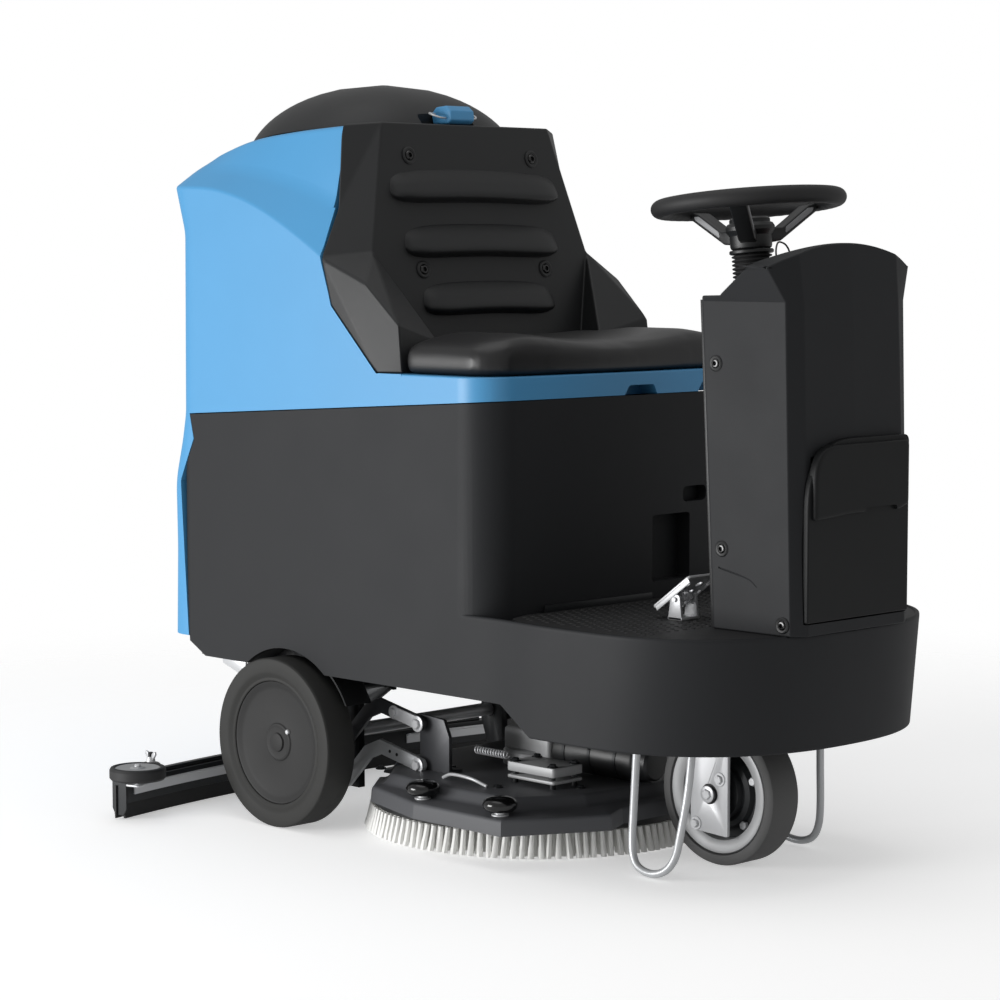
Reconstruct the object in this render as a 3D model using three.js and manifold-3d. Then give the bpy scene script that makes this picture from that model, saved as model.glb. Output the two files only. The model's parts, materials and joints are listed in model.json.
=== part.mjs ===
// Ride-on floor scrubber: one disc brush, a trailing squeegee and a steered drive wheel in front.
// Units are millimetres. +X is forward, +Y is to the driver's left and +Z is up.
// Parts are laid out from the rear axle line on the floor: x = 0 and y = 0 under the middle of
// the axle, z = 0 on the floor. At the end the whole machine is moved along X, so that its
// origin is the middle of its footprint.

import * as THREE from 'three';
import { mergeVertices } from 'three/addons/utils/BufferGeometryUtils.js';
import { ConvexGeometry } from 'three/addons/geometries/ConvexGeometry.js';
import Module from 'manifold-3d';

const wasm = await Module();
wasm.setup();

// ---------------------------------------------------------------- driving dimensions

const HALF_WIDTH = 323;            // body shell, from the centre plane to its side
const GAP = 0.4;                   // between two pieces that rest on each other
const SEAM = 1.6;                  // between the two big moulded tanks

const REAR_WHEEL = { radius: 150, width: 66, outerY: 357, rimRadius: 108 };
const DRIVE_WHEEL = { x: 747, radius: 121, width: 68, rimRadius: 101 };
const AXLE_RADIUS = 12.5;
const RUNNING = 0.6;               // added to a shaft's radius for the hole that it turns in

const SKIRT = { bottomZ: 228, topZ: 414, bottomNose: 1001, topNose: 1008, wall: 9, lip: 6 };
const FLOOR_Z = 412;               // top of the footplate, inside the skirt's lip
const SHEET_Z = 405;               // the skirt's flat top, which carries the footplate
const SEAT_BOX = { frontX: 503, cornerRadius: 70, floorZ: 344, wall: 10 };
const SEAT_TOP_Z = 802;            // top of the tank's flat part that carries the cushion

const COLUMN = { rearX: 806, halfWidth: 147, shoulderZ: 928, rearTopZ: 936, wall: 5 };
const BIN = { rearX: 902, halfWidth: 108, bottomZ: 442, topZ: 690 };

const STEER_TILT = THREE.MathUtils.degToRad(5.5);  // the column leans back towards the driver
const STEER_BASE = new THREE.Vector3(787, 0, 975); // a point on its axis
const RIM = { radius: 142.5, tube: 15.5, height: 108 };
const STEER_FOOT_X = 844;                          // where its axis meets the floor plate
const SPOKE_ANGLES = [78, 171, 303];               // degrees about the column

const BRUSH = { x: 302, radius: 305, bristleZ: 2, plateZ: 44, plateTopZ: 62 };
const LINK = { rearX: 22, frontX: 213, y: 200, upperZ: 191, lowerZ: 118, rise: 51, pin: 7 };
const DECK = { flangeBottomZ: 60, flangeTopZ: 88, coverTopZ: 104 };

const PEDAL = { x: 729, y: -86, z: 446, pitch: THREE.MathUtils.degToRad(36), length: 92, width: 60 };

const SQUEEGEE = { centreX: -300, curve: 2.28e-4, halfWidth: 512, topZ: 70 };
const ARM_PIVOT = { x: -150, z: 196 };
const SWING_X = -258;
const ROLLER = { x: -212, y: 489, radius: 50, pin: 6, bottomZ: 74, topZ: 97 };

const BRUSH_SIDES = 36;
const WHEEL_SIDES = 28;
const ORIGIN_X = 335.6;            // middle of the footprint, measured from the rear axle

// ---------------------------------------------------------------- materials

const finish = (color, roughness, metalness = 0) =>
  new THREE.MeshStandardMaterial({ color, roughness, metalness });

const BLUE = finish(0x4a9ad4, 0.45);
const BODY = finish(0x3a3b3d, 0.55);
const SEAT = finish(0x242526, 0.6);
const CUSHION = finish(0x1c1d1e, 0.5);
const TRIM = finish(0x202123, 0.5);
const RUBBER = finish(0x2b2b2b, 0.8);
const WHEEL_GREY = finish(0x4d4d4c, 0.7);
const TYRE_GREY = finish(0x626262, 0.75);
const ZINC = finish(0xb9bcc0, 0.35, 0.9);
const STEEL_BLACK = finish(0x2e3033, 0.5, 0.4);
const ROD_GREY = finish(0xc9cbcc, 0.4, 0.3);
const BRISTLE = finish(0xf2f2ee, 0.7);
const RED = finish(0xb3221c, 0.4);
const SCREEN = finish(0x10161c, 0.2);

// ---------------------------------------------------------------- shape helpers

// One closed mesh: shared vertices, no empty triangles, faces pointing out.
function tidy(geometry) {
  const bare = geometry.clone();
  bare.deleteAttribute('normal');
  bare.deleteAttribute('uv');
  const merged = mergeVertices(bare, 1e-3);
  const p = merged.attributes.position;
  const kept = [];
  let volume = 0;
  const [a, b, c] = [new THREE.Vector3(), new THREE.Vector3(), new THREE.Vector3()];
  for (let i = 0; i < merged.index.count; i += 3) {
    const corners = [0, 1, 2].map((k) => merged.index.getX(i + k));
    if (new Set(corners).size < 3) continue;
    kept.push(...corners);
    a.fromBufferAttribute(p, corners[0]);
    b.fromBufferAttribute(p, corners[1]);
    c.fromBufferAttribute(p, corners[2]);
    volume += a.dot(b.cross(c));
  }
  if (volume < 0) {
    for (let i = 0; i < kept.length; i += 3) [kept[i], kept[i + 1]] = [kept[i + 1], kept[i]];
  }
  merged.setIndex(kept);
  return merged;
}

// A solid for cutting and joining, from a geometry or from another solid.
function solid(shape) {
  if (!shape.isBufferGeometry) return shape;
  const mesh = tidy(shape);
  return new wasm.Manifold(new wasm.Mesh({
    numProp: 3,
    vertProperties: new Float32Array(mesh.attributes.position.array),
    triVerts: new Uint32Array(mesh.index.array),
  }));
}

function fromSolid(manifold) {
  const mesh = manifold.getMesh();
  const geometry = new THREE.BufferGeometry();
  geometry.setAttribute('position', new THREE.BufferAttribute(mesh.vertProperties, 3));
  geometry.setIndex(new THREE.BufferAttribute(mesh.triVerts, 1));
  return geometry;
}

const joined = (...shapes) => shapes.map(solid).reduce((all, one) => all.add(one));
const without = (body, ...shapes) => shapes.map(solid).reduce((all, one) => all.subtract(one), body);
const both = (...shapes) => shapes.map(solid).reduce((all, one) => all.intersect(one));

function box(x0, x1, y0, y1, z0, z1) {
  const geometry = new THREE.BoxGeometry(x1 - x0, y1 - y0, z1 - z0);
  return geometry.translate((x0 + x1) / 2, (y0 + y1) / 2, (z0 + z1) / 2);
}

const shapeOf = (points) => new THREE.Shape(points.map(([u, v]) => new THREE.Vector2(u, v)));

function extruded(shape, depth) {
  return new THREE.ExtrudeGeometry(shape, { depth, bevelEnabled: false, curveSegments: 6 });
}

// A plan outline of [x, y] points, standing from z0 to z1.
const slabZ = (points, z0, z1) => extruded(shapeOf(points), z1 - z0).translate(0, 0, z0);

// A side outline of [x, z] points, reaching from y0 to y1.
function slabY(points, y0, y1) {
  return extruded(shapeOf(points), y1 - y0).rotateX(Math.PI / 2).translate(0, y1, 0);
}

// A front outline of [y, z] points, reaching from x0 to x1.
function slabX(points, x0, x1) {
  const turn = new THREE.Matrix4().makeBasis(
    new THREE.Vector3(0, 1, 0), new THREE.Vector3(0, 0, 1), new THREE.Vector3(1, 0, 0));
  return extruded(shapeOf(points), x1 - x0).applyMatrix4(turn).translate(x0, 0, 0);
}

// Round bars along each axis.
function barY(x, z, radius, y0, y1, sides = 14) {
  const geometry = new THREE.CylinderGeometry(radius, radius, y1 - y0, sides);
  return geometry.translate(x, (y0 + y1) / 2, z);
}

function barZ(x, y, radius, z0, z1, sides = 14, topRadius = radius) {
  const geometry = new THREE.CylinderGeometry(topRadius, radius, z1 - z0, sides);
  return geometry.rotateX(Math.PI / 2).translate(x, y, (z0 + z1) / 2);
}

function barX(y, z, radius, x0, x1, sides = 14) {
  const geometry = new THREE.CylinderGeometry(radius, radius, x1 - x0, sides);
  return geometry.rotateZ(Math.PI / 2).translate((x0 + x1) / 2, y, z);
}

// A round rod or hose along a smooth curve through [x, y, z] points.
function rod(points, radius, steps, sides = 10) {
  const path = new THREE.CatmullRomCurve3(points.map((p) => new THREE.Vector3(...p)), false, 'centripetal');
  const section = new THREE.Shape();
  for (let i = 0; i < sides; i += 1) {
    const angle = (i / sides) * 2 * Math.PI;
    const corner = [radius * Math.cos(angle), radius * Math.sin(angle)];
    if (i === 0) section.moveTo(...corner);
    else section.lineTo(...corner);
  }
  return new THREE.ExtrudeGeometry(section, { steps, extrudePath: path });
}

// A closed body through rings that all have the same number of [x, y, z] points.
function loft(rings) {
  const count = rings[0].length;
  const positions = rings.flat(2);
  const index = [];
  for (let r = 0; r < rings.length - 1; r += 1) {
    for (let i = 0; i < count; i += 1) {
      const a = r * count + i;
      const b = r * count + ((i + 1) % count);
      index.push(a, b, a + count, b, b + count, a + count);
    }
  }
  const last = (rings.length - 1) * count;
  for (let i = 1; i < count - 1; i += 1) {
    index.push(0, i + 1, i);
    index.push(last, last + i, last + i + 1);
  }
  const geometry = new THREE.BufferGeometry();
  geometry.setAttribute('position', new THREE.Float32BufferAttribute(positions, 3));
  geometry.setIndex(index);
  return geometry;
}

const hull = (points) => new ConvexGeometry(points.map((p) => new THREE.Vector3(...p)));
const mirrored = (points) => [...points, ...points.map(([x, y, z]) => [x, -y, z])];

// Adds the mirror image of an outline's [x, y] points, in reverse, so that it closes.
const closedPlan = (points) => [...points, ...points.map(([x, y]) => [x, -y]).reverse()];

// Points of a quarter circle between two angles, in degrees.
function arc(cx, cy, radius, from, to, steps = 5) {
  return Array.from({ length: steps + 1 }, (_, i) => {
    const angle = THREE.MathUtils.degToRad(from + ((to - from) * i) / steps);
    return [cx + radius * Math.cos(angle), cy + radius * Math.sin(angle)];
  });
}

// ---------------------------------------------------------------- assembly

const machine = new THREE.Group();

function add(name, shape, material, parent = machine) {
  const geometry = shape.isBufferGeometry ? tidy(shape) : fromSolid(shape);
  const mesh = new THREE.Mesh(geometry, material);
  mesh.name = name;
  parent.add(mesh);
  return mesh;
}

const SIDES = [['left', 1], ['right', -1]];

// An interval of y on one side of the centre plane, lower end first.
const span = (sign, a, b) => [Math.min(sign * a, sign * b), Math.max(sign * a, sign * b)];

// A point on one side of the centre plane.
const onSide = (sign) => (x, y, ...rest) => [x, sign * y, ...rest];

// ---------------------------------------------------------------- outlines shared by parts

// The line where the blue recovery tank sits on the dark solution tank, seen from the side.
const PARTING = [[-272, 300], [-293, 590], [-254, 668], [-265, 713], [488, 762], [560, 767]];
const shifted = (points, dx, dz) => points.map(([x, z]) => [x + dx, z + dz]);

// Half plan of the body behind the seat front, from its rear centre to its front centre.
function bodyPlan(rearX, frontX, half, rearRadius, frontRadius) {
  return closedPlan([
    ...arc(rearX + rearRadius, half - rearRadius, rearRadius, 180, 90),
    ...arc(frontX - frontRadius, half - frontRadius, frontRadius, 90, 12),
    [frontX + 4, half * 0.45],
    [frontX + 6, 0.01],
  ]);
}

// Half width of the skirt's side, which swells from the seat box's width to its own at the footwell.
function skirtHalf(x, level) {
  const full = THREE.MathUtils.lerp(330, 333, level);
  return THREE.MathUtils.lerp(HALF_WIDTH, full, THREE.MathUtils.smoothstep(x, 500, 640));
}

// Half plan of the round nose at a height given as 0 at the skirt's bottom and 1 at its top.
function nosePlan(level, inset) {
  const nose = THREE.MathUtils.lerp(SKIRT.bottomNose, SKIRT.topNose, level) - inset;
  const straightX = THREE.MathUtils.lerp(675, 725, level);
  const side = [440, 500, 535, 570, 605, 640, straightX].map((x) => [x, skirtHalf(x, level) - inset]);
  const half = skirtHalf(straightX, level) - inset;
  const steps = 12;
  const curve = Array.from({ length: steps }, (_, i) => {
    const t = ((i + 1) / steps) * (Math.PI / 2);
    const x = straightX + (nose - straightX) * Math.sin(t) ** 0.75;
    return [x, Math.max(half * Math.cos(t) ** 0.86, 0.01)];
  });
  return closedPlan([...side, ...curve]);
}

// ---------------------------------------------------------------- wheels and running gear

// A disc wheel is a solid rubber ring on a hub. Its axis is Y and its outer face is towards +Y.
function ring(outer, inner, width, shoulder) {
  const h = width / 2;
  const profile = [
    [inner, -h + 5], [inner + 6, -h], [outer - shoulder, -h], [outer, -h + shoulder],
    [outer, h - shoulder], [outer - shoulder, h], [inner + 6, h], [inner, h - 5], [inner, -h + 5],
  ];
  return new THREE.LatheGeometry(profile.map(([r, y]) => new THREE.Vector2(r, y)), WHEEL_SIDES);
}

function rearHub() {
  const h = REAR_WHEEL.width / 2;
  const bore = AXLE_RADIUS + RUNNING;
  const rim = REAR_WHEEL.rimRadius - GAP;
  const profile = [
    [0, h - 4], [26, h - 4], [30, h - 11], [96, h - 12], [rim, h - 9],
    [rim, -h + 9], [38, -h + 14], [34, -h], [bore, -h], [bore, h - 16], [0, h - 16],
  ];
  return new THREE.LatheGeometry(profile.map(([r, y]) => new THREE.Vector2(r, y)), WHEEL_SIDES);
}

// Half a side's turn puts a flat of the faceted tread on the floor.
const FLAT_DOWN = Math.PI / WHEEL_SIDES;
const restingHeight = (radius) => radius * Math.cos(FLAT_DOWN);
const AXLE_Z = restingHeight(REAR_WHEEL.radius);
const DRIVE_Z = restingHeight(DRIVE_WHEEL.radius);

for (const [side, sign] of SIDES) {
  const wheel = new THREE.Group();
  wheel.position.set(0, sign * (REAR_WHEEL.outerY - REAR_WHEEL.width / 2), AXLE_Z);
  const turn = sign > 0 ? 0 : Math.PI;
  const tyre = ring(REAR_WHEEL.radius, REAR_WHEEL.rimRadius, REAR_WHEEL.width, 7);
  add(`rear_tyre_${side}`, tyre.rotateY(FLAT_DOWN).rotateZ(turn), WHEEL_GREY, wheel);
  add(`rear_hub_${side}`, rearHub().rotateY(FLAT_DOWN).rotateZ(turn), WHEEL_GREY, wheel);
  machine.add(wheel);
}

const AXLE_END = REAR_WHEEL.outerY - 18;
add('rear_axle', barY(0, AXLE_Z, AXLE_RADIUS, -AXLE_END, AXLE_END), ZINC);

// The drive wheel has its motor in the hub: a tyre, and a hub with a stub shaft on each side.
const FORK_PLATE = { inner: 40, outer: 47 };
const drive = new THREE.Group();
drive.position.set(DRIVE_WHEEL.x, 0, DRIVE_Z);
machine.add(drive);
add('drive_tyre', ring(DRIVE_WHEEL.radius, DRIVE_WHEEL.rimRadius, DRIVE_WHEEL.width, 6)
  .rotateY(FLAT_DOWN), TYRE_GREY, drive);

function driveHub() {
  const h = DRIVE_WHEEL.width / 2;
  const rim = DRIVE_WHEEL.rimRadius - GAP;
  const half = [
    [rim, h - 6], [94, h - 2], [79, h - 4], [74, h - 16], [46, h - 8],
    [12, h - 3], [12, FORK_PLATE.outer + 5], [0, FORK_PLATE.outer + 5],
  ];
  const profile = [...half.map(([r, y]) => [r, -y]).reverse(), ...half];
  return new THREE.LatheGeometry(profile.map(([r, y]) => new THREE.Vector2(r, y)), WHEEL_SIDES);
}
add('drive_hub_motor', driveHub().rotateY(FLAT_DOWN), ZINC, drive);

// The fork straddles the drive wheel and turns in the chassis on its upright shaft.
const FORK_TOP = 262;
const SHAFT = { radius: 24, topZ: 384 };
function driveFork() {
  const cheek = [[705, 66], [775, 60], [794, 90], [794, FORK_TOP], [700, FORK_TOP], [700, 110]];
  const bore = barY(DRIVE_WHEEL.x, DRIVE_Z, 12 + RUNNING, -60, 60);
  const body = joined(
    slabY(cheek, FORK_PLATE.inner, FORK_PLATE.outer),
    slabY(cheek, -FORK_PLATE.outer, -FORK_PLATE.inner),
    box(700, 794, -FORK_PLATE.outer, FORK_PLATE.outer, FORK_TOP - 9, FORK_TOP),
    barZ(DRIVE_WHEEL.x, 0, SHAFT.radius, FORK_TOP - 4, SHAFT.topZ, 20));
  return without(body, bore);
}
add('drive_fork', driveFork(), ZINC);

// Sprockets carry the steering from the column's foot to the fork, at half its angle.
const CHAIN = { z0: 372, z1: 380, pinionX: 846, pinionRadius: 29, wheelRadius: 58 };
const forkSprocket = joined(barZ(DRIVE_WHEEL.x, 0, CHAIN.wheelRadius, CHAIN.z0, CHAIN.z1, 24),
  barZ(DRIVE_WHEEL.x, 0, 34, CHAIN.z0 - 12, CHAIN.z1));
add('fork_sprocket', without(forkSprocket, barZ(DRIVE_WHEEL.x, 0, SHAFT.radius + GAP, 300, 400, 20)),
  STEEL_BLACK);
add('steering_pinion', joined(
  barZ(CHAIN.pinionX, 0, CHAIN.pinionRadius, CHAIN.z0, CHAIN.z1, 20),
  barZ(CHAIN.pinionX, 0, 11, CHAIN.z0 - 40, CHAIN.z1 + 14, 20)), STEEL_BLACK);

// The chain is a closed belt around both sprockets.
function steeringChain() {
  const clear = 1.2;
  const beltAround = (extra) => {
    const big = CHAIN.wheelRadius + extra;
    const small = CHAIN.pinionRadius + extra;
    const lean = THREE.MathUtils.radToDeg(Math.asin((big - small) / (CHAIN.pinionX - DRIVE_WHEEL.x)));
    return [...arc(DRIVE_WHEEL.x, 0, big, 90 - lean, 270 + lean, 22),
      ...arc(CHAIN.pinionX, 0, small, -90 + lean, 90 - lean, 12)];
  };
  return without(solid(slabZ(beltAround(clear + 6), CHAIN.z0, CHAIN.z1)),
    slabZ(beltAround(clear), CHAIN.z0 - 1, CHAIN.z1 + 1));
}
add('steering_chain', steeringChain(), STEEL_BLACK);

// ---------------------------------------------------------------- chassis

const RAIL = { inner: 150, outer: 176, z0: 300, z1: 338 };
const TANK_HINGE = { x: -290, z: 300 };  // the recovery tank tips back about this line

function chassisFrame() {
  const pieces = [
    box(-262, -232, -RAIL.outer, RAIL.outer, RAIL.z0, RAIL.z1),
    box(-22, 22, -268, 268, 306, RAIL.z1),
    box(520, 550, -RAIL.outer, RAIL.outer, RAIL.z0, RAIL.z1),
    box(660, 900, -RAIL.outer, RAIL.outer, 326, RAIL.z1),
    barZ(DRIVE_WHEEL.x, 0, 42, FORK_TOP + 6, RAIL.z1 + 14, 20),
    barZ(CHAIN.pinionX, 0, 22, 316, RAIL.z1 + 10, 20),
    box(ARM_PIVOT.x - 14, ARM_PIVOT.x + 14, -RAIL.outer, RAIL.outer, 312, RAIL.z1),
    barY(ARM_PIVOT.x, ARM_PIVOT.z, 8, -66, 66, 16),
  ];
  for (const [, sign] of SIDES) {
    const [railIn, railOut] = span(sign, RAIL.inner, RAIL.outer);
    pieces.push(box(-262, 905, railIn, railOut, RAIL.z0, RAIL.z1));
    const axlePlate = [[-48, RAIL.z1], [48, RAIL.z1], [26, AXLE_Z - 28], [-26, AXLE_Z - 28]];
    pieces.push(slabY(axlePlate, ...span(sign, 258, 268)));
    const hanger = [[4, RAIL.z1], [34, RAIL.z1], [36, 52], [8, 52], [-20, AXLE_Z - 20],
      [-20, AXLE_Z + 24]];
    pieces.push(slabY(hanger, ...span(sign, RAIL.outer - 4, 186)));
    for (const z of [LINK.upperZ - LINK.rise, LINK.lowerZ - LINK.rise]) {
      pieces.push(barY(LINK.rearX, z, LINK.pin, ...span(sign, 184, 209), 12));
    }
    const armEar = [[ARM_PIVOT.x - 22, RAIL.z1], [ARM_PIVOT.x + 22, RAIL.z1],
      [ARM_PIVOT.x + 14, ARM_PIVOT.z - 14], [ARM_PIVOT.x - 14, ARM_PIVOT.z - 14]];
    pieces.push(slabY(armEar, ...span(sign, 54, 62)));
    pieces.push(box(-328, -234, ...span(sign, 222, 250), 262, 270));
    pieces.push(box(TANK_HINGE.x - 6, TANK_HINGE.x + 6, ...span(sign, 222, 250), 268, TANK_HINGE.z));
    pieces.push(barY(TANK_HINGE.x, TANK_HINGE.z, 5, ...span(sign, 222, 250), 12));
    pieces.push(box(-262, -234, ...span(sign, 170, 250), 262, RAIL.z0 + 6));
  }
  return without(joined(...pieces),
    barY(0, AXLE_Z, AXLE_RADIUS + RUNNING, -300, 300),
    barZ(DRIVE_WHEEL.x, 0, SHAFT.radius + RUNNING, 200, 400, 28),
    barZ(CHAIN.pinionX, 0, 11 + RUNNING, 300, 400, 20));
}
add('chassis_frame', chassisFrame(), STEEL_BLACK);

// A bent rod on each side of the drive wheel keeps the front off kerbs.
for (const [side, sign] of SIDES) {
  const at = onSide(sign);
  const route = [at(690, 163, 299), at(689, 163, 230), at(687, 168, 120), at(690, 175, 45),
    at(712, 183, 14), at(745, 186, 9), at(776, 184, 24), at(795, 178, 70), at(802, 166, 150),
    at(806, 160, 230), at(808, 158, 299)];
  add(`skid_loop_${side}`, rod(route, 6.5, 22, 8), ROD_GREY);
}

// ---------------------------------------------------------------- brush deck

// Each link is cranked over the deck's rim; its two eyes are LINK.rise apart in height.
function deckLink(frontZ, sign) {
  const rearZ = frontZ - LINK.rise;
  const half = 10;
  const spine = [[LINK.rearX, rearZ], [78, frontZ + 6], [112, frontZ + 20], [LINK.frontX, frontZ]];
  const plates = [];
  const [y0, y1] = span(sign, LINK.y - 4, LINK.y + 4);
  for (let i = 0; i < spine.length - 1; i += 1) {
    const [[ax, az], [bx, bz]] = [spine[i], spine[i + 1]];
    const length = Math.hypot(bx - ax, bz - az);
    const [nx, nz] = [(-(bz - az) / length) * half, ((bx - ax) / length) * half];
    const edge = [[ax + nx, az + nz], [bx + nx, bz + nz], [bx - nx, bz - nz], [ax - nx, az - nz]];
    plates.push(slabY(edge, y0, y1));
    plates.push(barY(ax, az, half, y0, y1, 12));
  }
  plates.push(barY(LINK.frontX, frontZ, half + 3, y0, y1, 14));
  const eye = LINK.pin + RUNNING;
  return without(joined(...plates), barY(LINK.rearX, rearZ, eye, y0 - 1, y1 + 1, 12),
    barY(LINK.frontX, frontZ, eye, y0 - 1, y1 + 1, 12));
}

// The deck cover is an angular dish over the brush, with a raised middle and two link plates.
const DECK_PLAN = closedPlan([[62, 0.01], [62, 150], [176, 284], [335, 332], [545, 332], [636, 166],
  [611, 112], [611, 0.01]]);
const DECK_TOP_PLAN = closedPlan([[95, 0.01], [95, 140], [196, 252], [330, 270], [500, 262], [560, 150],
  [575, 0.01]]);

function deckCover() {
  const pieces = [
    slabZ(DECK_PLAN, DECK.flangeBottomZ, DECK.flangeTopZ),
    slabZ(DECK_TOP_PLAN, DECK.flangeTopZ - 2, DECK.coverTopZ),
  ];
  const plate = [[202, DECK.coverTopZ - 3], [276, DECK.coverTopZ - 3], [276, 172], [262, 202], [202, 206]];
  const linkSlots = [];
  for (const [, sign] of SIDES) {
    pieces.push(slabY(plate, ...span(sign, 184, 192)));
    for (const z of [LINK.upperZ, LINK.lowerZ]) {
      pieces.push(barY(LINK.frontX, z, LINK.pin, ...span(sign, 188, 209), 12));
    }
    linkSlots.push(box(20, 150, ...span(sign, 164, 216), 50, 130));
  }
  const cavity = barZ(BRUSH.x, 0, 298, DECK.flangeBottomZ - 5, DECK.flangeTopZ - 6, 48);
  return without(joined(...pieces), cavity, ...linkSlots, barZ(BRUSH.x, 0, 46, 50, 120, 28));
}
add('deck_cover', deckCover(), TRIM);

// Round knobs hold the splash guard on the deck.
const KNOB_SPOTS = [['rear', 326, 300], ['front', 517, 306]];
for (const [side, sign] of SIDES) {
  for (const [end, x, y] of KNOB_SPOTS) {
    const z = DECK.flangeTopZ + GAP;
    const profile = [[0, 0], [9, 0], [9, 8], [20, 8], [25, 14], [25, 22], [19, 28], [0, 28]];
    const knob = new THREE.LatheGeometry(profile.map(([r, h]) => new THREE.Vector2(r, h)), 14);
    add(`deck_knob_${end}_${side}`, knob.rotateX(Math.PI / 2).translate(x, sign * y, z), TRIM);
  }
}

// The brush motor stands on the deck: an upright gearbox with the motor lying forward of it.
function brushMotor() {
  const z = DECK.coverTopZ + GAP;
  return joined(
    barZ(BRUSH.x, 0, 62, z, z + 34, 20),
    box(BRUSH.x - 44, BRUSH.x + 70, -44, 44, z + 6, z + 70),
    barX(0, z + 38, 37, BRUSH.x + 60, 560, 20),
    barX(0, z + 38, 30, 555, 584, 20),
    barZ(BRUSH.x, 0, 20, 66, z + 4, 20));
}
add('brush_motor', brushMotor(), TRIM);

// The brush is a plate with a hub, and a crown of bristles below it.
function brushPlate() {
  const r = BRUSH.radius - 13;
  const plate = barZ(BRUSH.x, 0, r, BRUSH.plateZ, BRUSH.plateTopZ, BRUSH_SIDES);
  const hub = barZ(BRUSH.x, 0, 40, BRUSH.plateTopZ - 2, BRUSH.plateTopZ + 18, 24);
  return without(joined(plate, hub), barZ(BRUSH.x, 0, 20 + RUNNING, 30, 100, 20));
}
add('brush_disc', brushPlate(), TRIM);
const BRISTLE_TOP_Z = BRUSH.plateZ - GAP;
const bristleProfile = [[150, BRISTLE_TOP_Z], [150, BRUSH.bristleZ], [BRUSH.radius, BRUSH.bristleZ],
  [BRUSH.radius - 13, BRISTLE_TOP_Z], [150, BRISTLE_TOP_Z]];
add('brush_bristles', new THREE.LatheGeometry(
  bristleProfile.map(([r, z]) => new THREE.Vector2(r, z)), BRUSH_SIDES)
  .rotateX(Math.PI / 2).translate(BRUSH.x, 0, 0), BRISTLE);

for (const [side, sign] of SIDES) {
  add(`upper_link_${side}`, deckLink(LINK.upperZ, sign), STEEL_BLACK);
  add(`lower_link_${side}`, deckLink(LINK.lowerZ, sign), STEEL_BLACK);
}

// The lift actuator hangs in the chassis between the rails, above the deck.
add('deck_actuator', joined(barX(-96, 318, 17, 90, 300, 20), box(60, 96, -122, -72, 300, 338),
  barX(-96, 318, 9, 296, 372, 16)), ZINC);

// ---------------------------------------------------------------- squeegee

const bladeX = (y) => SQUEEGEE.centreX + SQUEEGEE.curve * y * y;

// A strip that follows the squeegee's curve, between two offsets behind it and two heights.
function curvedStrip(front, back, half, z0, z1, steps = 14) {
  const line = (offset) => Array.from({ length: steps + 1 }, (_, i) => {
    const y = -half + (2 * half * i) / steps;
    return [bladeX(y) + offset, y];
  });
  return slabZ([...line(front), ...line(back).reverse()], z0, z1);
}

function squeegeeFrame() {
  const h = SQUEEGEE.halfWidth;
  const pieces = [
    curvedStrip(16, -16, h - 6, SQUEEGEE.topZ - 8, SQUEEGEE.topZ),
    curvedStrip(13, 9, h - 6, 28, SQUEEGEE.topZ - 6),
    curvedStrip(-9, -13, h - 6, 28, SQUEEGEE.topZ - 6),
    box(-330, SWING_X + 22, -34, 34, SQUEEGEE.topZ - 4, SQUEEGEE.topZ + 8),
    barZ(SWING_X, 0, 10, SQUEEGEE.topZ, 118, 16),
    barZ(-300, 0, 24, SQUEEGEE.topZ, 124, 20),
  ];
  for (const [, sign] of SIDES) {
    const at = onSide(sign);
    const bracket = [at(-268, 398), at(-205, 470), at(-196, 500), at(-222, 508), at(-262, 470),
      at(-285, 430)];
    pieces.push(slabZ(bracket, SQUEEGEE.topZ - 8, SQUEEGEE.topZ - 5));
    pieces.push(barZ(ROLLER.x, sign * ROLLER.y, ROLLER.pin, SQUEEGEE.topZ - 7, ROLLER.topZ + 3, 12));
  }
  return without(joined(...pieces), barZ(-300, 0, 18, 60, 130, 20));
}
add('squeegee_frame', squeegeeFrame(), TRIM);

// The front blade is slotted for water; the rear blade wipes. Both hang inside the channel.
const bladeZ = [2, SQUEEGEE.topZ - 8 - GAP];
add('squeegee_blade_front', curvedStrip(8.4, 4.4, SQUEEGEE.halfWidth - 8, ...bladeZ), RUBBER);
add('squeegee_blade_rear', curvedStrip(-4.4, -8.4, SQUEEGEE.halfWidth, ...bladeZ), RUBBER);

function bumperRoller() {
  const { radius, bottomZ, topZ } = ROLLER;
  const bore = ROLLER.pin + RUNNING;
  const profile = [[bore, bottomZ], [radius - 3, bottomZ], [radius, bottomZ + 4], [radius, topZ - 4],
    [radius - 4, topZ], [bore, topZ], [bore, bottomZ]];
  return new THREE.LatheGeometry(profile.map(([r, z]) => new THREE.Vector2(r, z)), 28).rotateX(Math.PI / 2);
}

const WING_KNOB_Y = 424;
for (const [side, sign] of SIDES) {
  add(`bumper_roller_${side}`, bumperRoller().translate(ROLLER.x, sign * ROLLER.y, 0), RUBBER);
  const [x, y] = [bladeX(WING_KNOB_Y), sign * WING_KNOB_Y];
  const z = SQUEEGEE.topZ + GAP;
  add(`wing_knob_${side}`, joined(barZ(x, y, 5, z, z + 36, 12), barZ(x, y, 17, z + 12, z + 18, 16),
    box(x - 15, x + 15, y - 2.5, y + 2.5, z + 24, z + 40)), ZINC);
}

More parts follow.
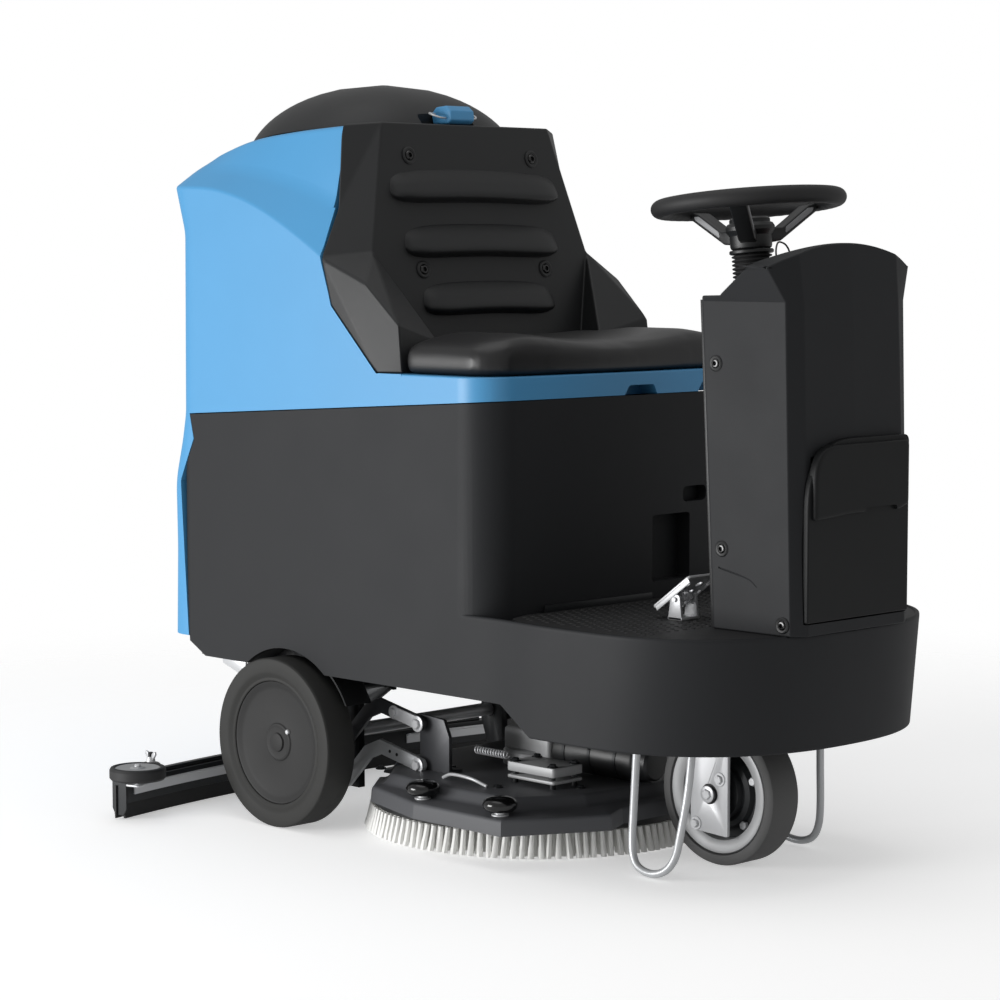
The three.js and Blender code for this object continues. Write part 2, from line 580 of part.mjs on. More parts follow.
// The arm swings up about the chassis pin; the squeegee turns about the upright pin at its end.
function squeegeeArm() {
  const side = [[ARM_PIVOT.x + 14, ARM_PIVOT.z - 12], [ARM_PIVOT.x + 14, ARM_PIVOT.z + 12],
    [ARM_PIVOT.x - 14, ARM_PIVOT.z + 12], [SWING_X - 14, 136], [SWING_X - 14, 119], [SWING_X + 26, 119]];
  const pieces = [box(SWING_X - 14, SWING_X + 18, -52, 52, 119, 127)];
  for (const [, sign] of SIDES) {
    pieces.push(slabY(side, ...span(sign, 44, 52)));
  }
  const body = joined(...pieces);
  return without(body, barY(ARM_PIVOT.x, ARM_PIVOT.z, 8 + RUNNING, -80, 80, 20));
}
add('squeegee_arm', squeegeeArm(), STEEL_BLACK);

// The suction hose climbs from the squeegee's middle to the recovery tank's spout.
const HOSE_X = -300;
add('suction_hose', rod([[HOSE_X, 0, 126], [HOSE_X, 0, 136], [HOSE_X - 4, 0, 165], [HOSE_X - 14, 0, 215],
  [HOSE_X - 12, 0, 262], [HOSE_X - 10, 0, 292]], 22, 14, 12), RUBBER);

// ---------------------------------------------------------------- solution tank and footplate

const ARCH = { x: -4, z: 142, radius: 170 };
const shaftHole = barZ(STEER_FOOT_X, 0, 28, 370, 420);

// Plan of the floor in front of the seat box, at a distance inside the skirt's outer edge.
function footplatePlan(inset) {
  const half = nosePlan(1, inset).filter(([x, y]) => x > 560 && y > 0);
  const back = SEAT_BOX.frontX + 3 + inset;
  return closedPlan([[back, 0.01], [back, 240], [back + 16, 296 - inset],
    [back + 46, skirtHalf(back + 46, 1) - inset], ...half]);
}

function solutionTank() {
  const profile = [...shifted(PARTING, SEAM / 2, -SEAM / 2), [560, 300], [530, 275], [-226, 276],
    [-271, 300]];
  const plan = bodyPlan(-293, SEAT_BOX.frontX, HALF_WIDTH, 26, SEAT_BOX.cornerRadius);
  const seatBox = both(slabY(profile, -400, 400), slabZ(plan, 200, 800));
  const rings = [0, 0.5, 1].map((level) => {
    const z = THREE.MathUtils.lerp(SKIRT.bottomZ, SKIRT.topZ, level);
    return nosePlan(level, 0).map(([x, y]) => [x, y, z]);
  });
  const inner = [-0.1, 0.9].map((level) => {
    const z = THREE.MathUtils.lerp(SKIRT.bottomZ, SKIRT.topZ, level);
    return nosePlan(level, SKIRT.wall).map(([x, y]) => [Math.max(x, 460), y, z]);
  });
  const skirt = without(solid(loft(rings)), loft(inner),
    slabY([[400, 200], [616, 200], [616, 222], [536, 276], [400, 276]], -400, 400));
  const t = SEAT_BOX.wall;
  const underside = box(-246, 470, -(HALF_WIDTH - t), HALF_WIDTH - t, 200, SEAT_BOX.floorZ - 4);
  const frameTunnel = box(-266, 520, -254, 254, 200, SEAT_BOX.floorZ - 2);
  const well = box(-226, 440, -282, 282, SEAT_BOX.floorZ + 8, 800);
  const arches = barY(ARCH.x, ARCH.z, ARCH.radius, -400, 400, 36);
  const kneeSlot = box(SEAT_BOX.frontX - 26, 560, 74, 164, 430, 560);
  const columnSeat = box(820, 1100, -150, 150, FLOOR_Z - GAP, 420);
  const sheetSeat = slabZ(footplatePlan(SKIRT.lip), SHEET_Z, 420);
  return without(seatBox.add(skirt), underside, frameTunnel, shaftHole, well, arches, kneeSlot, columnSeat,
    sheetSeat);
}
add('solution_tank', solutionTank(), BODY);

// A ribbed rubber sheet lies in the skirt's top, with a low kick plate at the seat box.
function footplate() {
  const sheet = slabZ(footplatePlan(SKIRT.lip + GAP), SHEET_Z + GAP, FLOOR_Z);
  const kick = box(513, 517, -200, 60, SHEET_Z + 2, 424);
  return without(joined(sheet, kick), shaftHole);
}
add('footplate', footplate(), RUBBER);

for (const [side, sign] of SIDES) {
  const [y0, y1] = span(sign, 6, 270);
  add(`battery_${side}`, joined(box(-200, 420, y0, y1, SEAT_BOX.floorZ + 9, 600),
    box(-170, -140, y0 + 40, y0 + 70, 598, 618)), TRIM);
}

// The pedal's bracket stands on the footplate; the pedal turns on its pin.
function pedalBracket() {
  const cheek = [[PEDAL.x - 16, FLOOR_Z + GAP], [PEDAL.x + 14, FLOOR_Z + GAP], [PEDAL.x + 8, PEDAL.z + 8],
    [PEDAL.x - 8, PEDAL.z + 8]];
  return joined(slabY(cheek, PEDAL.y - 32, PEDAL.y - 27), slabY(cheek, PEDAL.y + 7, PEDAL.y + 12),
    box(PEDAL.x - 16, PEDAL.x + 14, PEDAL.y - 32, PEDAL.y + 12, FLOOR_Z + GAP, FLOOR_Z + 5),
    barY(PEDAL.x, PEDAL.z, 4, PEDAL.y - 36, PEDAL.y + 16, 12));
}
add('pedal_bracket', pedalBracket(), ZINC);

function acceleratorPedal() {
  const group = new THREE.Group();
  const { length, width } = PEDAL;
  const plate = joined(box(-length * 0.52, length * 0.48, -width * 0.5, width * 0.5, 12, 17),
    box(-9, 9, -20, -15, -7, 13), box(-9, 9, -5, 0, -7, 13));
  const pedal = without(plate, barY(0, 0, 4 + RUNNING, -50, 50, 16));
  group.position.set(PEDAL.x, PEDAL.y, PEDAL.z);
  group.rotation.y = -PEDAL.pitch;
  add('accelerator_pedal', pedal, ZINC, group);
  machine.add(group);
}
acceleratorPedal();

// ---------------------------------------------------------------- recovery tank, seat and lid

// Heights along the tank's side, from the rear: the shelf's lower and upper edge and the top rim.
const SHELF = [
  { x: -345, low: 1120, high: 1152, top: 1158, upperHalf: 286 },
  { x: -300, low: 1120, high: 1152, top: 1167, upperHalf: 286 },
  { x: -183, low: 1113, high: 1149, top: 1200, upperHalf: 284 },
  { x: -60, low: 1077, high: 1131, top: 1214, upperHalf: 281 },
  { x: 97, low: 996, high: 1084, top: 1222, upperHalf: 276 },
  { x: 240, low: 900, high: 1010, top: 1226, upperHalf: 272 },
];

// The moulded seat back and its two side bolsters. `grow` swells it, to cut its seat in the tank.
function seatBulk(grow) {
  const g = grow;
  const seatZ = SEAT_TOP_Z + GAP - g;
  const panelX = (z) => 132 + (1171 - z) * 0.188;
  const upper = hull(mirrored([
    [panelX(1228), 197, 1228], [80 - g, 245 + 3 * g, 1223 + g], [98 - g, 283 + g, 1080],
    [99 - g, 323.5 + g, 995 - g], [panelX(1004) + 1, 262, 1004], [84 - g, 250, 995 - g],
  ]));
  const lower = hull(mirrored([
    [panelX(1004), 262, 1004], [panelX(803), 206 + g, seatZ], [84 - g, 250, 1004], [150 - g, 206 + g, seatZ],
  ]));
  const arms = [1, -1].map((sign) => hull([
    [99 - g, 323 + g, 996], [panelX(1004), 262, 1004], [257, 200, 855], [268, 196 - g, seatZ],
    [274, 316, seatZ], [239 - g, 323 + g, seatZ], [124 - g, 323 + g, 914], [150 - g, 206, seatZ],
    [120 - g, 250, 960],
  ].map(([x, y, z]) => [x, sign * y, z])));
  return joined(upper, lower, ...arms);
}

// The tank's rear end, from the bottom up: height, rearmost x and corner radius.
const REAR_LEVELS = [[300, -345, 58], [470, -341, 58], [590, -343, 57], [665, -314, 44], [713, -302, 40],
  [1038, -299, 40], [1119, -336, 58], [1168, -300, 50], [1300, -290, 50]];

// The tank's outline in plan, bounded by its rear end.
function rearBound(inset) {
  return loft(REAR_LEVELS.map(([z, x, radius]) =>
    bodyPlan(x + inset, 700, HALF_WIDTH - inset, radius - inset, 20).map((point) => [...point, z])));
}

// The tank's cross-sections: upright sides, a shelf that leans in and a flat roof.
function hoodBound(inset, floor) {
  return loft(SHELF.map(({ x, low, high, top, upperHalf }) => {
    const wide = HALF_WIDTH - inset;
    const narrow = upperHalf - inset;
    const rim = 250 - inset;
    const roof = top - inset;
    return [[x, -wide, floor], [x, wide, floor], [x, wide, low], [x, narrow, high], [x, rim, roof],
      [x, -rim, roof], [x, -narrow, high], [x, -wide, low]];
  }));
}

function recoveryTank() {
  const profile = [[-400, 309], [-400, 1400], [95.5, 1400], [95.5, 996], [124, 914], [239, SEAT_TOP_Z],
    [SEAT_BOX.frontX, SEAT_TOP_Z], [SEAT_BOX.frontX, 764.4],
    ...shifted(PARTING.slice(1, -1), -SEAM / 2, SEAM / 2).reverse(), [-274, 309]];
  const seatPlan = bodyPlan(-293, SEAT_BOX.frontX, HALF_WIDTH, 26, SEAT_BOX.cornerRadius);
  const outside = joined(hoodBound(0, 280), slabZ(seatPlan, 700, SEAT_TOP_Z))
    .intersect(both(slabY(profile, -400, 400), rearBound(0)));
  const wall = 8;
  const cavityProfile = [[-400, 320], [-400, 1240], [60, 1240], [60, 990], [80, 900], [110, 816], [96, 744],
    [-275, 722], [-264, 667], [-303, 592], [-285, 320]];
  const cavity = both(hoodBound(wall, 300), slabY(cavityProfile, -HALF_WIDTH + wall, HALF_WIDTH - wall),
    rearBound(wall));
  const mouthPlan = closedPlan([[-250, 0.01], [-250, 130], [-205, 190], [-40, 212], [52, 200], [52, 0.01]]);
  const handles = [[18, 112], [216, 300]].map(([y0, y1]) =>
    box(SEAT_BOX.frontX - 32, SEAT_BOX.frontX + 60, y0, y1, 760, 784));
  const underSeat = box(124, 468, -300, 300, 700, SEAT_TOP_Z - wall);
  const spout = barZ(HOSE_X - 10, 0, 27, 296, 322, 20);
  const spoutBore = barZ(HOSE_X - 10, 0, 20, 290, 340, 20);
  return without(outside.add(solid(spout)), cavity, slabZ(mouthPlan, 1120, 1300), spoutBore, ...handles,
    seatBulk(0.9), box(84, 300, -265, 265, SEAT_TOP_Z, 1300), underSeat);
}
add('recovery_tank', recoveryTank(), BLUE);
add('seat_shell', seatBulk(0), SEAT);

// The cushion lies on the tank between the bolsters and spreads in front of them.
function cushionBlock() {
  const plan = closedPlan([[206, 0.01], [206, 176], [262, 188], [281, 200], [283, 290], [300, 306],
    ...arc(440, 246, 62, 80, 15), [508, 120], [512, 0.01]]);
  const base = slabZ(plan, SEAT_TOP_Z + GAP, SEAT_TOP_Z + 46);
  const top = SEAT_TOP_Z + 44;
  const front = hull(mirrored([[274, 186, top], [288, 286, top], [430, 296, top], [494, 240, top],
    [500, 80, top], [300, 200, top + 16], [470, 180, top + 20], [480, 60, top + 20]]));
  const rear = hull(mirrored([[214, 170, top], [290, 176, top], [300, 60, top + 16], [250, 120, top + 12],
    [290, 150, top + 15]]));
  return joined(base, front, rear);
}
add('seat_cushion', cushionBlock(), CUSHION);

// The lid is a low dome on the tank's mouth. Its underside follows the tank's top rim.
const LID = { centreX: -96, halfLength: 194, halfWidth: 246, baseZ: 1160, height: 146 };

function tankLid() {
  const steps = 7;
  const around = 28;
  const reach = (value, power) => Math.sign(value) * Math.abs(value) ** power;
  const rings = Array.from({ length: steps }, (_, k) => {
    const t = k / (steps - 1);
    const spread = Math.sqrt(Math.max(1 - t ** 1.9, 0.0016));
    return Array.from({ length: around }, (_, i) => {
      const angle = (i / around) * 2 * Math.PI;
      return [LID.centreX + LID.halfLength * spread * reach(Math.cos(angle), 0.84),
        LID.halfWidth * spread * reach(Math.sin(angle), 0.72), LID.baseZ + LID.height * t];
    });
  });
  const rimLine = [[-336, 1160], ...SHELF.slice(1, -1).map(({ x, top }) => [x, top]), [300, 1232],
    [300, 1400], [-336, 1400]];
  const dome = both(loft(rings), slabY(shifted(rimLine, 0, 2 + GAP), -300, 300));
  const latchNotch = box(54, 200, -64, 64, 1226, 1320);
  const hollow = hull(mirrored([[-246, 170, 1196], [24, 190, 1214], [-200, 90, 1258], [4, 100, 1266],
    [-246, 170, 1180], [24, 190, 1180]]));
  return without(dome, latchNotch, hollow);
}
add('tank_lid', tankLid(), SEAT);

// A moulded catch in the lid's notch holds the lid's front edge down.
function lidLatch() {
  const side = [[64, 1230], [104, 1230], [112, 1238], [108, 1258], [96, 1262], [70, 1260], [62, 1248]];
  return without(solid(slabY(side, -38, 38)), box(70, 90, -28, 28, 1224, 1250));
}
add('lid_latch', lidLatch(), BLUE);

// Inside the recovery tank: the suction motor behind the seat back, and the float cage.
add('suction_motor', joined(barZ(-180, -120, 66, 744, 830, 28), barZ(-180, -120, 52, 828, 880, 28)), TRIM);
add('float_cage', joined(barZ(-60, 110, 34, 1050, 1180, 20), barZ(-60, 110, 44, 1178, 1188, 20)), TRIM);

// ---------------------------------------------------------------- front column

const COLUMN_LEVELS = [
  { z: FLOOR_Z + GAP, rearX: 834, sideX: 992, frontX: 1008, half: 146, flat: 122 },
  { z: COLUMN.shoulderZ, rearX: COLUMN.rearX, sideX: 978, frontX: 990, half: 147, flat: 118 },
  { z: 984, rearX: COLUMN.rearX, sideX: 964, frontX: 984, half: 178, flat: 120 },
  { z: 1030, rearX: COLUMN.rearX, sideX: 952, frontX: 978, half: 200, flat: 122 },
];

function columnPlan({ rearX, sideX, frontX, half, flat }) {
  return closedPlan([[rearX, 0.01], [rearX, COLUMN.halfWidth], [sideX, half], [frontX - 3, flat],
    [frontX, flat * 0.5], [frontX + 1, 0.01]]);
}

function frontColumn() {
  const rings = COLUMN_LEVELS.map((level) => columnPlan(level).map(([x, y]) => [x, y, level.z]));
  const roofSide = [[700, 400], [1100, 400], [1100, 1020], [968, 1018], [847, COLUMN.rearTopZ + 1],
    [700, COLUMN.rearTopZ]];
  const roofArch = [[-260, 400], [-260, 930], ...arc(0, 585, 434, 126, 54, 14), [260, 930], [260, 400]];
  const outside = solid(loft(rings)).intersect(both(slabY(roofSide, -300, 300), slabX(roofArch, 600, 1200)));
  const shaftSpace = box(700, 880, -COLUMN.halfWidth + COLUMN.wall, COLUMN.halfWidth - COLUMN.wall, 380, 905);
  const shaftWay = box(700, 846, -50, 50, 880, 990);
  const dashWell = slabY([[846, 929], [948, 998], [948, 1033], [846, 1033]], -112, 112);
  const bin = box(BIN.rearX, 1100, -BIN.halfWidth, BIN.halfWidth, BIN.bottomZ, BIN.topZ);
  const doorPanel = box(998.5, 1100, -127, 127, 432, 716);
  return without(outside, shaftSpace, shaftWay, dashWell, bin, doorPanel);
}
add('front_column', frontColumn(), BODY);

// The rear panel closes the column and bulges around the steering column.
function columnRearPanel() {
  const x1 = COLUMN.rearX - GAP;
  const baseZ = FLOOR_Z + GAP;
  const topZ = COLUMN.rearTopZ;
  const plate = slabY([[826, baseZ], [833, baseZ], [x1, topZ - 6], [x1 - 7, topZ - 6]], -140, 140);
  const bulgePlan = closedPlan([[752, 0.01], [752, 20], [762, 38], [785, 47], [840, 47], [840, 0.01]]);
  const bulgeSide = [[700, 400], [833, 400], [x1, topZ], [x1, topZ + 14], [700, topZ + 14]];
  const bulge = both(slabZ(bulgePlan, baseZ, topZ + 8), slabY(bulgeSide, -100, 100));
  const insidePlan = closedPlan([[757, 0.01], [757, 18], [766, 34], [786, 42], [860, 42], [860, 0.01]]);
  const shaftBore = barZ(789, 0, 20, 900, 1000, 20);
  const front = x1 + 0.01;
  const behind = slabY([[833.1, 400], [900, 400], [900, 1000], [front, 1000], [front, topZ]], -100, 100);
  return without(joined(plate, bulge), slabZ(insidePlan, 380, topZ + 2), shaftBore, behind);
}
add('column_rear_panel', columnRearPanel(), TRIM);

// The instrument panel lies in the slope behind the hood's brow.
const slopeAngle = Math.atan2(1005 - 936, 948 - 846);
const dash = new THREE.Group();
dash.position.set(846, 0, 936 - 7);
dash.rotation.y = -slopeAngle;
machine.add(dash);
const DASH_LENGTH = 122;
add('dashboard', without(joined(box(8, DASH_LENGTH - 2, -111, 111, GAP, 6), box(20, 84, -40, 40, 5, 8)),
  barZ(44, -76, 11, -5, 20, 20), barZ(44, 76, 15, -5, 20, 20)), TRIM, dash);
add('key_switch', joined(barZ(44, -76, 10, GAP, 11, 20), box(32, 56, -78, -74, 10, 24)), ZINC, dash);
add('emergency_stop', joined(barZ(44, 76, 14, 5, 14, 20), barZ(44, 76, 20, 13, 24, 24)), RED, dash);
add('display_screen', box(24, 80, -34, 34, 8 + GAP, 10), SCREEN, dash);

// ---------------------------------------------------------------- steering

// Built upright about Z, then leaned back with the column.
const steering = new THREE.Group();
steering.position.copy(STEER_BASE);
steering.rotation.y = -STEER_TILT;
machine.add(steering);

function steeringWheel() {
  const rim = new THREE.TorusGeometry(RIM.radius, RIM.tube, 8, 26).translate(0, 0, RIM.height);
  const hub = joined(barZ(0, 0, 34, 34, 62, 20, 40), barZ(0, 0, 40, 60, 74, 20, 34),
    barZ(0, 0, 33, 72, 84, 20, 30));
  const spokes = SPOKE_ANGLES.map((degrees) => {
    const side = [[20, 44], [52, 48], [134, 98], [136, 108], [114, 102], [56, 66], [20, 66]];
    return slabY(side, -13, 13).rotateZ(THREE.MathUtils.degToRad(degrees));
  });
  const body = spokes.map(solid).reduce((all, one) => all.add(one), hub.add(solid(rim)));
  return without(body, barZ(0, 0, 10 + GAP, 0, 66, 16));
}
add('steering_wheel', steeringWheel(), TRIM, steering);
add('steering_shaft', joined(barZ(0, 0, 10, -560, 64, 16), barZ(0, 0, 15, -580, -556, 16)), ZINC, steering);

// Four soft ribs seal the shaft where it leaves the column.
function boot() {
  const ribs = 4;
  const [z0, z1] = [-25, 26];
  const outside = Array.from({ length: ribs * 2 + 1 }, (_, i) =>
    [i % 2 ? 33 : 27, z0 + ((z1 - z0) * i) / (ribs * 2)]);
  const profile = [[14, z0], ...outside, [14, z1], [14, z0]];
  return new THREE.LatheGeometry(profile.map(([r, z]) => new THREE.Vector2(r, z)), 16).rotateX(Math.PI / 2);
}
add('steering_boot', boot(), RUBBER, steering);
const collar = without(solid(barZ(0, 0, 36, 26.6, 33, 24)), barZ(0, 0, 14, 20, 40, 20));
add('steering_collar', collar, TRIM, steering);

// The storage door is hinged along its lower edge.
function storageDoor() {
  const outline = [[126, 433], ...arc(114, 704, 12, 0, 90, 3), ...arc(-20, 610, 106, 90, 180, 6),
    [-126, 433]];
  const panel = slabX(outline, 999, 1009);
  const swell = hull([[1008, -118, 600], [1008, 120, 600], [1008, 120, 700], [1008, -20, 700],
    [1008, -105, 640], [1016, -100, 610], [1016, 110, 610], [1014, 110, 690], [1014, -20, 690]]);
  return joined(panel, swell);
}
add('storage_door', storageDoor(), TRIM);

machine.position.x = -ORIGIN_X;
export default machine;
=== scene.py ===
import json
import math
import random
import bmesh
import bpy
import numpy as np
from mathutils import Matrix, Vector


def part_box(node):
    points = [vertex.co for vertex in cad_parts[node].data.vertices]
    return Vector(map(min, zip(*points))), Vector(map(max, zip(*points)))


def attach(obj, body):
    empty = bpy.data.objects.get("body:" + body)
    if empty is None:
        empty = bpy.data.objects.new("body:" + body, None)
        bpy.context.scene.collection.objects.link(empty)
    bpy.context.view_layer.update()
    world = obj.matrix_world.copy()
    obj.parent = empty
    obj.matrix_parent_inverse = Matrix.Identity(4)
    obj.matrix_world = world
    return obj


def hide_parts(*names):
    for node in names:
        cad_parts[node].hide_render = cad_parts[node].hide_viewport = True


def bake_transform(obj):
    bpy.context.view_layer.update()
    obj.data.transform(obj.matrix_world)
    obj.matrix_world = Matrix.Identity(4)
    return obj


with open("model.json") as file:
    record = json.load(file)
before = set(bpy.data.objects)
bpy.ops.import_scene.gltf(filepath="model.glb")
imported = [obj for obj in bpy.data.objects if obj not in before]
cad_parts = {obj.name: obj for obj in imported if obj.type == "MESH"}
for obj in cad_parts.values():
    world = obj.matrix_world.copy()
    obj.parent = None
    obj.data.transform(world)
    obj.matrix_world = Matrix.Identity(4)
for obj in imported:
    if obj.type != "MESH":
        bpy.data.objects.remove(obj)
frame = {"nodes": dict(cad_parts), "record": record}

# -------------------- frame
# Shapes are laid out in millimetres from the rear axle line on the floor, as in the solid model.
MM = 0.001
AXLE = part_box("rear_axle")
AXLE_X = 0.5 * (AXLE[0].x + AXLE[1].x)
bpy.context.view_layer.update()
UP = (0, 0, 1)
ACROSS = (0, 1, 0)
SIDES = (("left", 1), ("right", -1))


def at(x, y, z):
    return Vector((AXLE_X + x * MM, y * MM, z * MM))


def mm_box(node):
    """The low and high corner of a solid, in millimetres from the rear axle line."""
    low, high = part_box(node)
    return (Vector(((low.x - AXLE_X) / MM, low.y / MM, low.z / MM)),
        Vector(((high.x - AXLE_X) / MM, high.y / MM, high.z / MM)))


# -------------------- materials
def material(name, color, rough, metal=0.0, grain=0.0, grain_scale=900.0, mottle=0.03, coat=0.0, spec=0.5):
    """A finish with a fine surface grain and a faint, large mottling of colour and gloss."""
    m = bpy.data.materials.new(name)
    m.use_nodes = True
    t = m.node_tree
    t.nodes.clear()
    out = t.nodes.new("ShaderNodeOutputMaterial")
    shader = t.nodes.new("ShaderNodeBsdfPrincipled")
    coord = t.nodes.new("ShaderNodeTexCoord")
    wide = t.nodes.new("ShaderNodeTexNoise")
    wide.inputs["Scale"].default_value = 9.0
    wide.inputs["Detail"].default_value = 4.0
    tint = t.nodes.new("ShaderNodeMapRange")
    tint.inputs["To Min"].default_value = 1.0 - mottle
    tint.inputs["To Max"].default_value = 1.0 + mottle
    mix = t.nodes.new("ShaderNodeVectorMath")
    mix.operation = "SCALE"
    mix.inputs[0].default_value = color
    gloss = t.nodes.new("ShaderNodeMapRange")
    gloss.inputs["To Min"].default_value = rough * 0.9
    gloss.inputs["To Max"].default_value = min(rough * 1.1, 1.0)
    link = t.links.new
    link(coord.outputs["Object"], wide.inputs["Vector"])
    link(wide.outputs["Fac"], tint.inputs["Value"])
    link(wide.outputs["Fac"], gloss.inputs["Value"])
    link(tint.outputs["Result"], mix.inputs["Scale"])
    link(mix.outputs["Vector"], shader.inputs["Base Color"])
    link(gloss.outputs["Result"], shader.inputs["Roughness"])
    shader.inputs["Metallic"].default_value = metal
    shader.inputs["Specular IOR Level"].default_value = spec
    shader.inputs["Coat Weight"].default_value = coat
    shader.inputs["Coat Roughness"].default_value = 0.15
    if grain:
        fine = t.nodes.new("ShaderNodeTexNoise")
        fine.inputs["Scale"].default_value = grain_scale
        fine.inputs["Detail"].default_value = 2.0
        bump = t.nodes.new("ShaderNodeBump")
        bump.inputs["Strength"].default_value = grain
        bump.inputs["Distance"].default_value = 0.0006
        link(coord.outputs["Object"], fine.inputs["Vector"])
        link(fine.outputs["Fac"], bump.inputs["Height"])
        link(bump.outputs["Normal"], shader.inputs["Normal"])
    link(shader.outputs["BSDF"], out.inputs["Surface"])
    return m


def srgb(r, g, b):
    def linear(v):
        v /= 255.0
        return v / 12.92 if v <= 0.04045 else ((v + 0.055) / 1.055) ** 2.4
    return (linear(r), linear(g), linear(b))


BLUE = material("tank blue", srgb(76, 150, 200), 0.42, grain=0.12, spec=0.5)
DARK = material("body dark", srgb(38, 39, 41), 0.55, grain=0.3, grain_scale=1100, spec=0.2)
SEAT_BLACK = material("seat black", srgb(34, 35, 36), 0.45, grain=0.35, grain_scale=1000, spec=0.4)
VINYL = material("vinyl black", srgb(30, 30, 31), 0.4, grain=0.3, grain_scale=500)
TRIM = material("trim black", srgb(26, 27, 28), 0.42, grain=0.2)
DOOR_BLACK = material("door black", srgb(22, 23, 24), 0.5, grain=0.25, spec=0.22)
DECK_GREY = material("deck grey", srgb(80, 81, 84), 0.5, grain=0.25, spec=0.4)
GLOSS = material("gloss black", srgb(12, 12, 13), 0.18, coat=0.3)
RUBBER = material("rubber black", srgb(30, 30, 31), 0.62, grain=0.3, grain_scale=700)
WHEEL = material("wheel grey", srgb(52, 52, 51), 0.6, grain=0.3, grain_scale=800, spec=0.2)
WHEEL_DISC = material("wheel disc grey", srgb(49, 49, 49), 0.55, grain=0.2, spec=0.2)
TYRE = material("drive tyre grey", srgb(84, 84, 84), 0.62, grain=0.35, grain_scale=800, spec=0.35)
RIM_GREY = material("rim light grey", srgb(170, 171, 172), 0.45, metal=0.2)
ZINC = material("zinc plate", srgb(206, 207, 209), 0.36, metal=0.3, grain=0.08, grain_scale=300)
STEEL_DARK = material("black steel", srgb(30, 32, 34), 0.4, metal=0.3, grain=0.1)
STEEL_GREY = material("grey steel", srgb(66, 67, 70), 0.4, metal=0.3, grain=0.1)
ROD = material("rod light grey", srgb(196, 198, 200), 0.35, metal=0.35)
INSET = material("spoke inset grey", srgb(150, 151, 153), 0.5)
BRISTLE = material("bristle white", srgb(246, 246, 243), 0.55, mottle=0.06)
RED = material("stop red", srgb(180, 26, 20), 0.3, coat=0.3)
GLASS = material("screen dark", srgb(14, 20, 26), 0.12, coat=0.5)

# The part's material slot that each finish is filed under. A slot's own finish comes first.
SLOT = {BLUE: "blue_tank", DARK: "dark_body", SEAT_BLACK: "seat_black", VINYL: "cushion_black",
    TRIM: "trim_black", DOOR_BLACK: "trim_black", DECK_GREY: "trim_black", GLOSS: "trim_black",
    INSET: "trim_black", RUBBER: "rubber_black", WHEEL: "wheel_grey", WHEEL_DISC: "wheel_grey",
    TYRE: "tyre_grey", ZINC: "zinc", RIM_GREY: "zinc", STEEL_DARK: "steel_black",
    STEEL_GREY: "steel_black", ROD: "rod_grey", BRISTLE: "bristle_white", RED: "red_plastic",
    GLASS: "screen"}


# -------------------- mesh helpers
def new_object(name, mesh, finish=None):
    o = bpy.data.objects.new(name, mesh)
    bpy.context.scene.collection.objects.link(o)
    if finish:
        mesh.materials.clear()
        mesh.materials.append(finish)
    return o


def build(name, points, faces, finish=None):
    """A mesh from points in millimetres, with its faces turned outwards."""
    mesh = bpy.data.meshes.new(name)
    mesh.from_pydata([at(*p) for p in points], [], faces)
    bm = bmesh.new()
    bm.from_mesh(mesh)
    bmesh.ops.remove_doubles(bm, verts=bm.verts, dist=1e-6)
    bmesh.ops.recalc_face_normals(bm, faces=bm.faces)
    bm.to_mesh(mesh)
    bm.free()
    return new_object(name, mesh, finish)


def grid_faces(rings, sides, base=0, closed=True, endless=False):
    """The quads between neighbouring rings of points that are numbered from base."""
    faces = []
    for r in range(rings if endless else rings - 1):
        here, there = base + r * sides, base + (r + 1) % rings * sides
        for i in range(sides if closed else sides - 1):
            j = (i + 1) % sides
            faces.append((here + i, here + j, there + j, there + i))
    return faces


def loft(name, rows, finish=None, closed=True, caps=True):
    """A skin through rows of points; every row is a closed loop unless closed is False."""
    count = len(rows[0])
    points = [p for row in rows for p in row]
    faces = grid_faces(len(rows), count, closed=closed)
    if caps:
        faces.append(tuple(range(count))[::-1])
        faces.append(tuple((len(rows) - 1) * count + i for i in range(count)))
    return build(name, points, faces, finish)


def filleted(rows, radii, steps=5):
    """Rounds each inner row into a small arc that runs across the rows."""
    rows = [np.array(r, float) for r in rows]
    out = [rows[0]]
    for i in range(1, len(rows) - 1):
        if radii[i] <= 0:
            out.append(rows[i])
            continue
        before, here, after = rows[i - 1], rows[i], rows[i + 1]
        a, b = before - here, after - here
        la = np.linalg.norm(a, axis=1)[:, None] + 1e-9
        lb = np.linalg.norm(b, axis=1)[:, None] + 1e-9
        p = here + a / la * np.minimum(radii[i], la * 0.48)
        q = here + b / lb * np.minimum(radii[i], lb * 0.48)
        for k in range(steps + 1):
            t = k / steps
            out.append(p * (1 - t) ** 2 + here * 2 * t * (1 - t) + q * t * t)
    out.append(rows[-1])
    return [r.tolist() for r in out]


def rounded(points, radius, steps=6):
    """A closed outline with its corners rounded. radius is one number or one for each corner."""
    n = len(points)
    radii = radius if isinstance(radius, (list, tuple)) else [radius] * n
    out = []
    for i in range(n):
        here = np.array(points[i], float)
        a = np.array(points[i - 1], float) - here
        b = np.array(points[(i + 1) % n], float) - here
        if radii[i] <= 0:
            out.append(tuple(here))
            continue
        la, lb = np.linalg.norm(a), np.linalg.norm(b)
        half = math.acos(max(-1.0, min(1.0, float(a @ b) / (la * lb)))) / 2
        reach = min(radii[i] / max(math.tan(half), 1e-3), la * 0.48, lb * 0.48)
        p, q = here + a / la * reach, here + b / lb * reach
        for k in range(steps + 1):
            t = k / steps
            out.append(tuple(p * (1 - t) ** 2 + here * 2 * t * (1 - t) + q * t * t))
    return out


def rect(u0, u1, v0, v1):
    """A rectangle's corners. From 0.01 outwards it is the half section of a round bar."""
    return [(u0, v0), (u1, v0), (u1, v1), (u0, v1)]


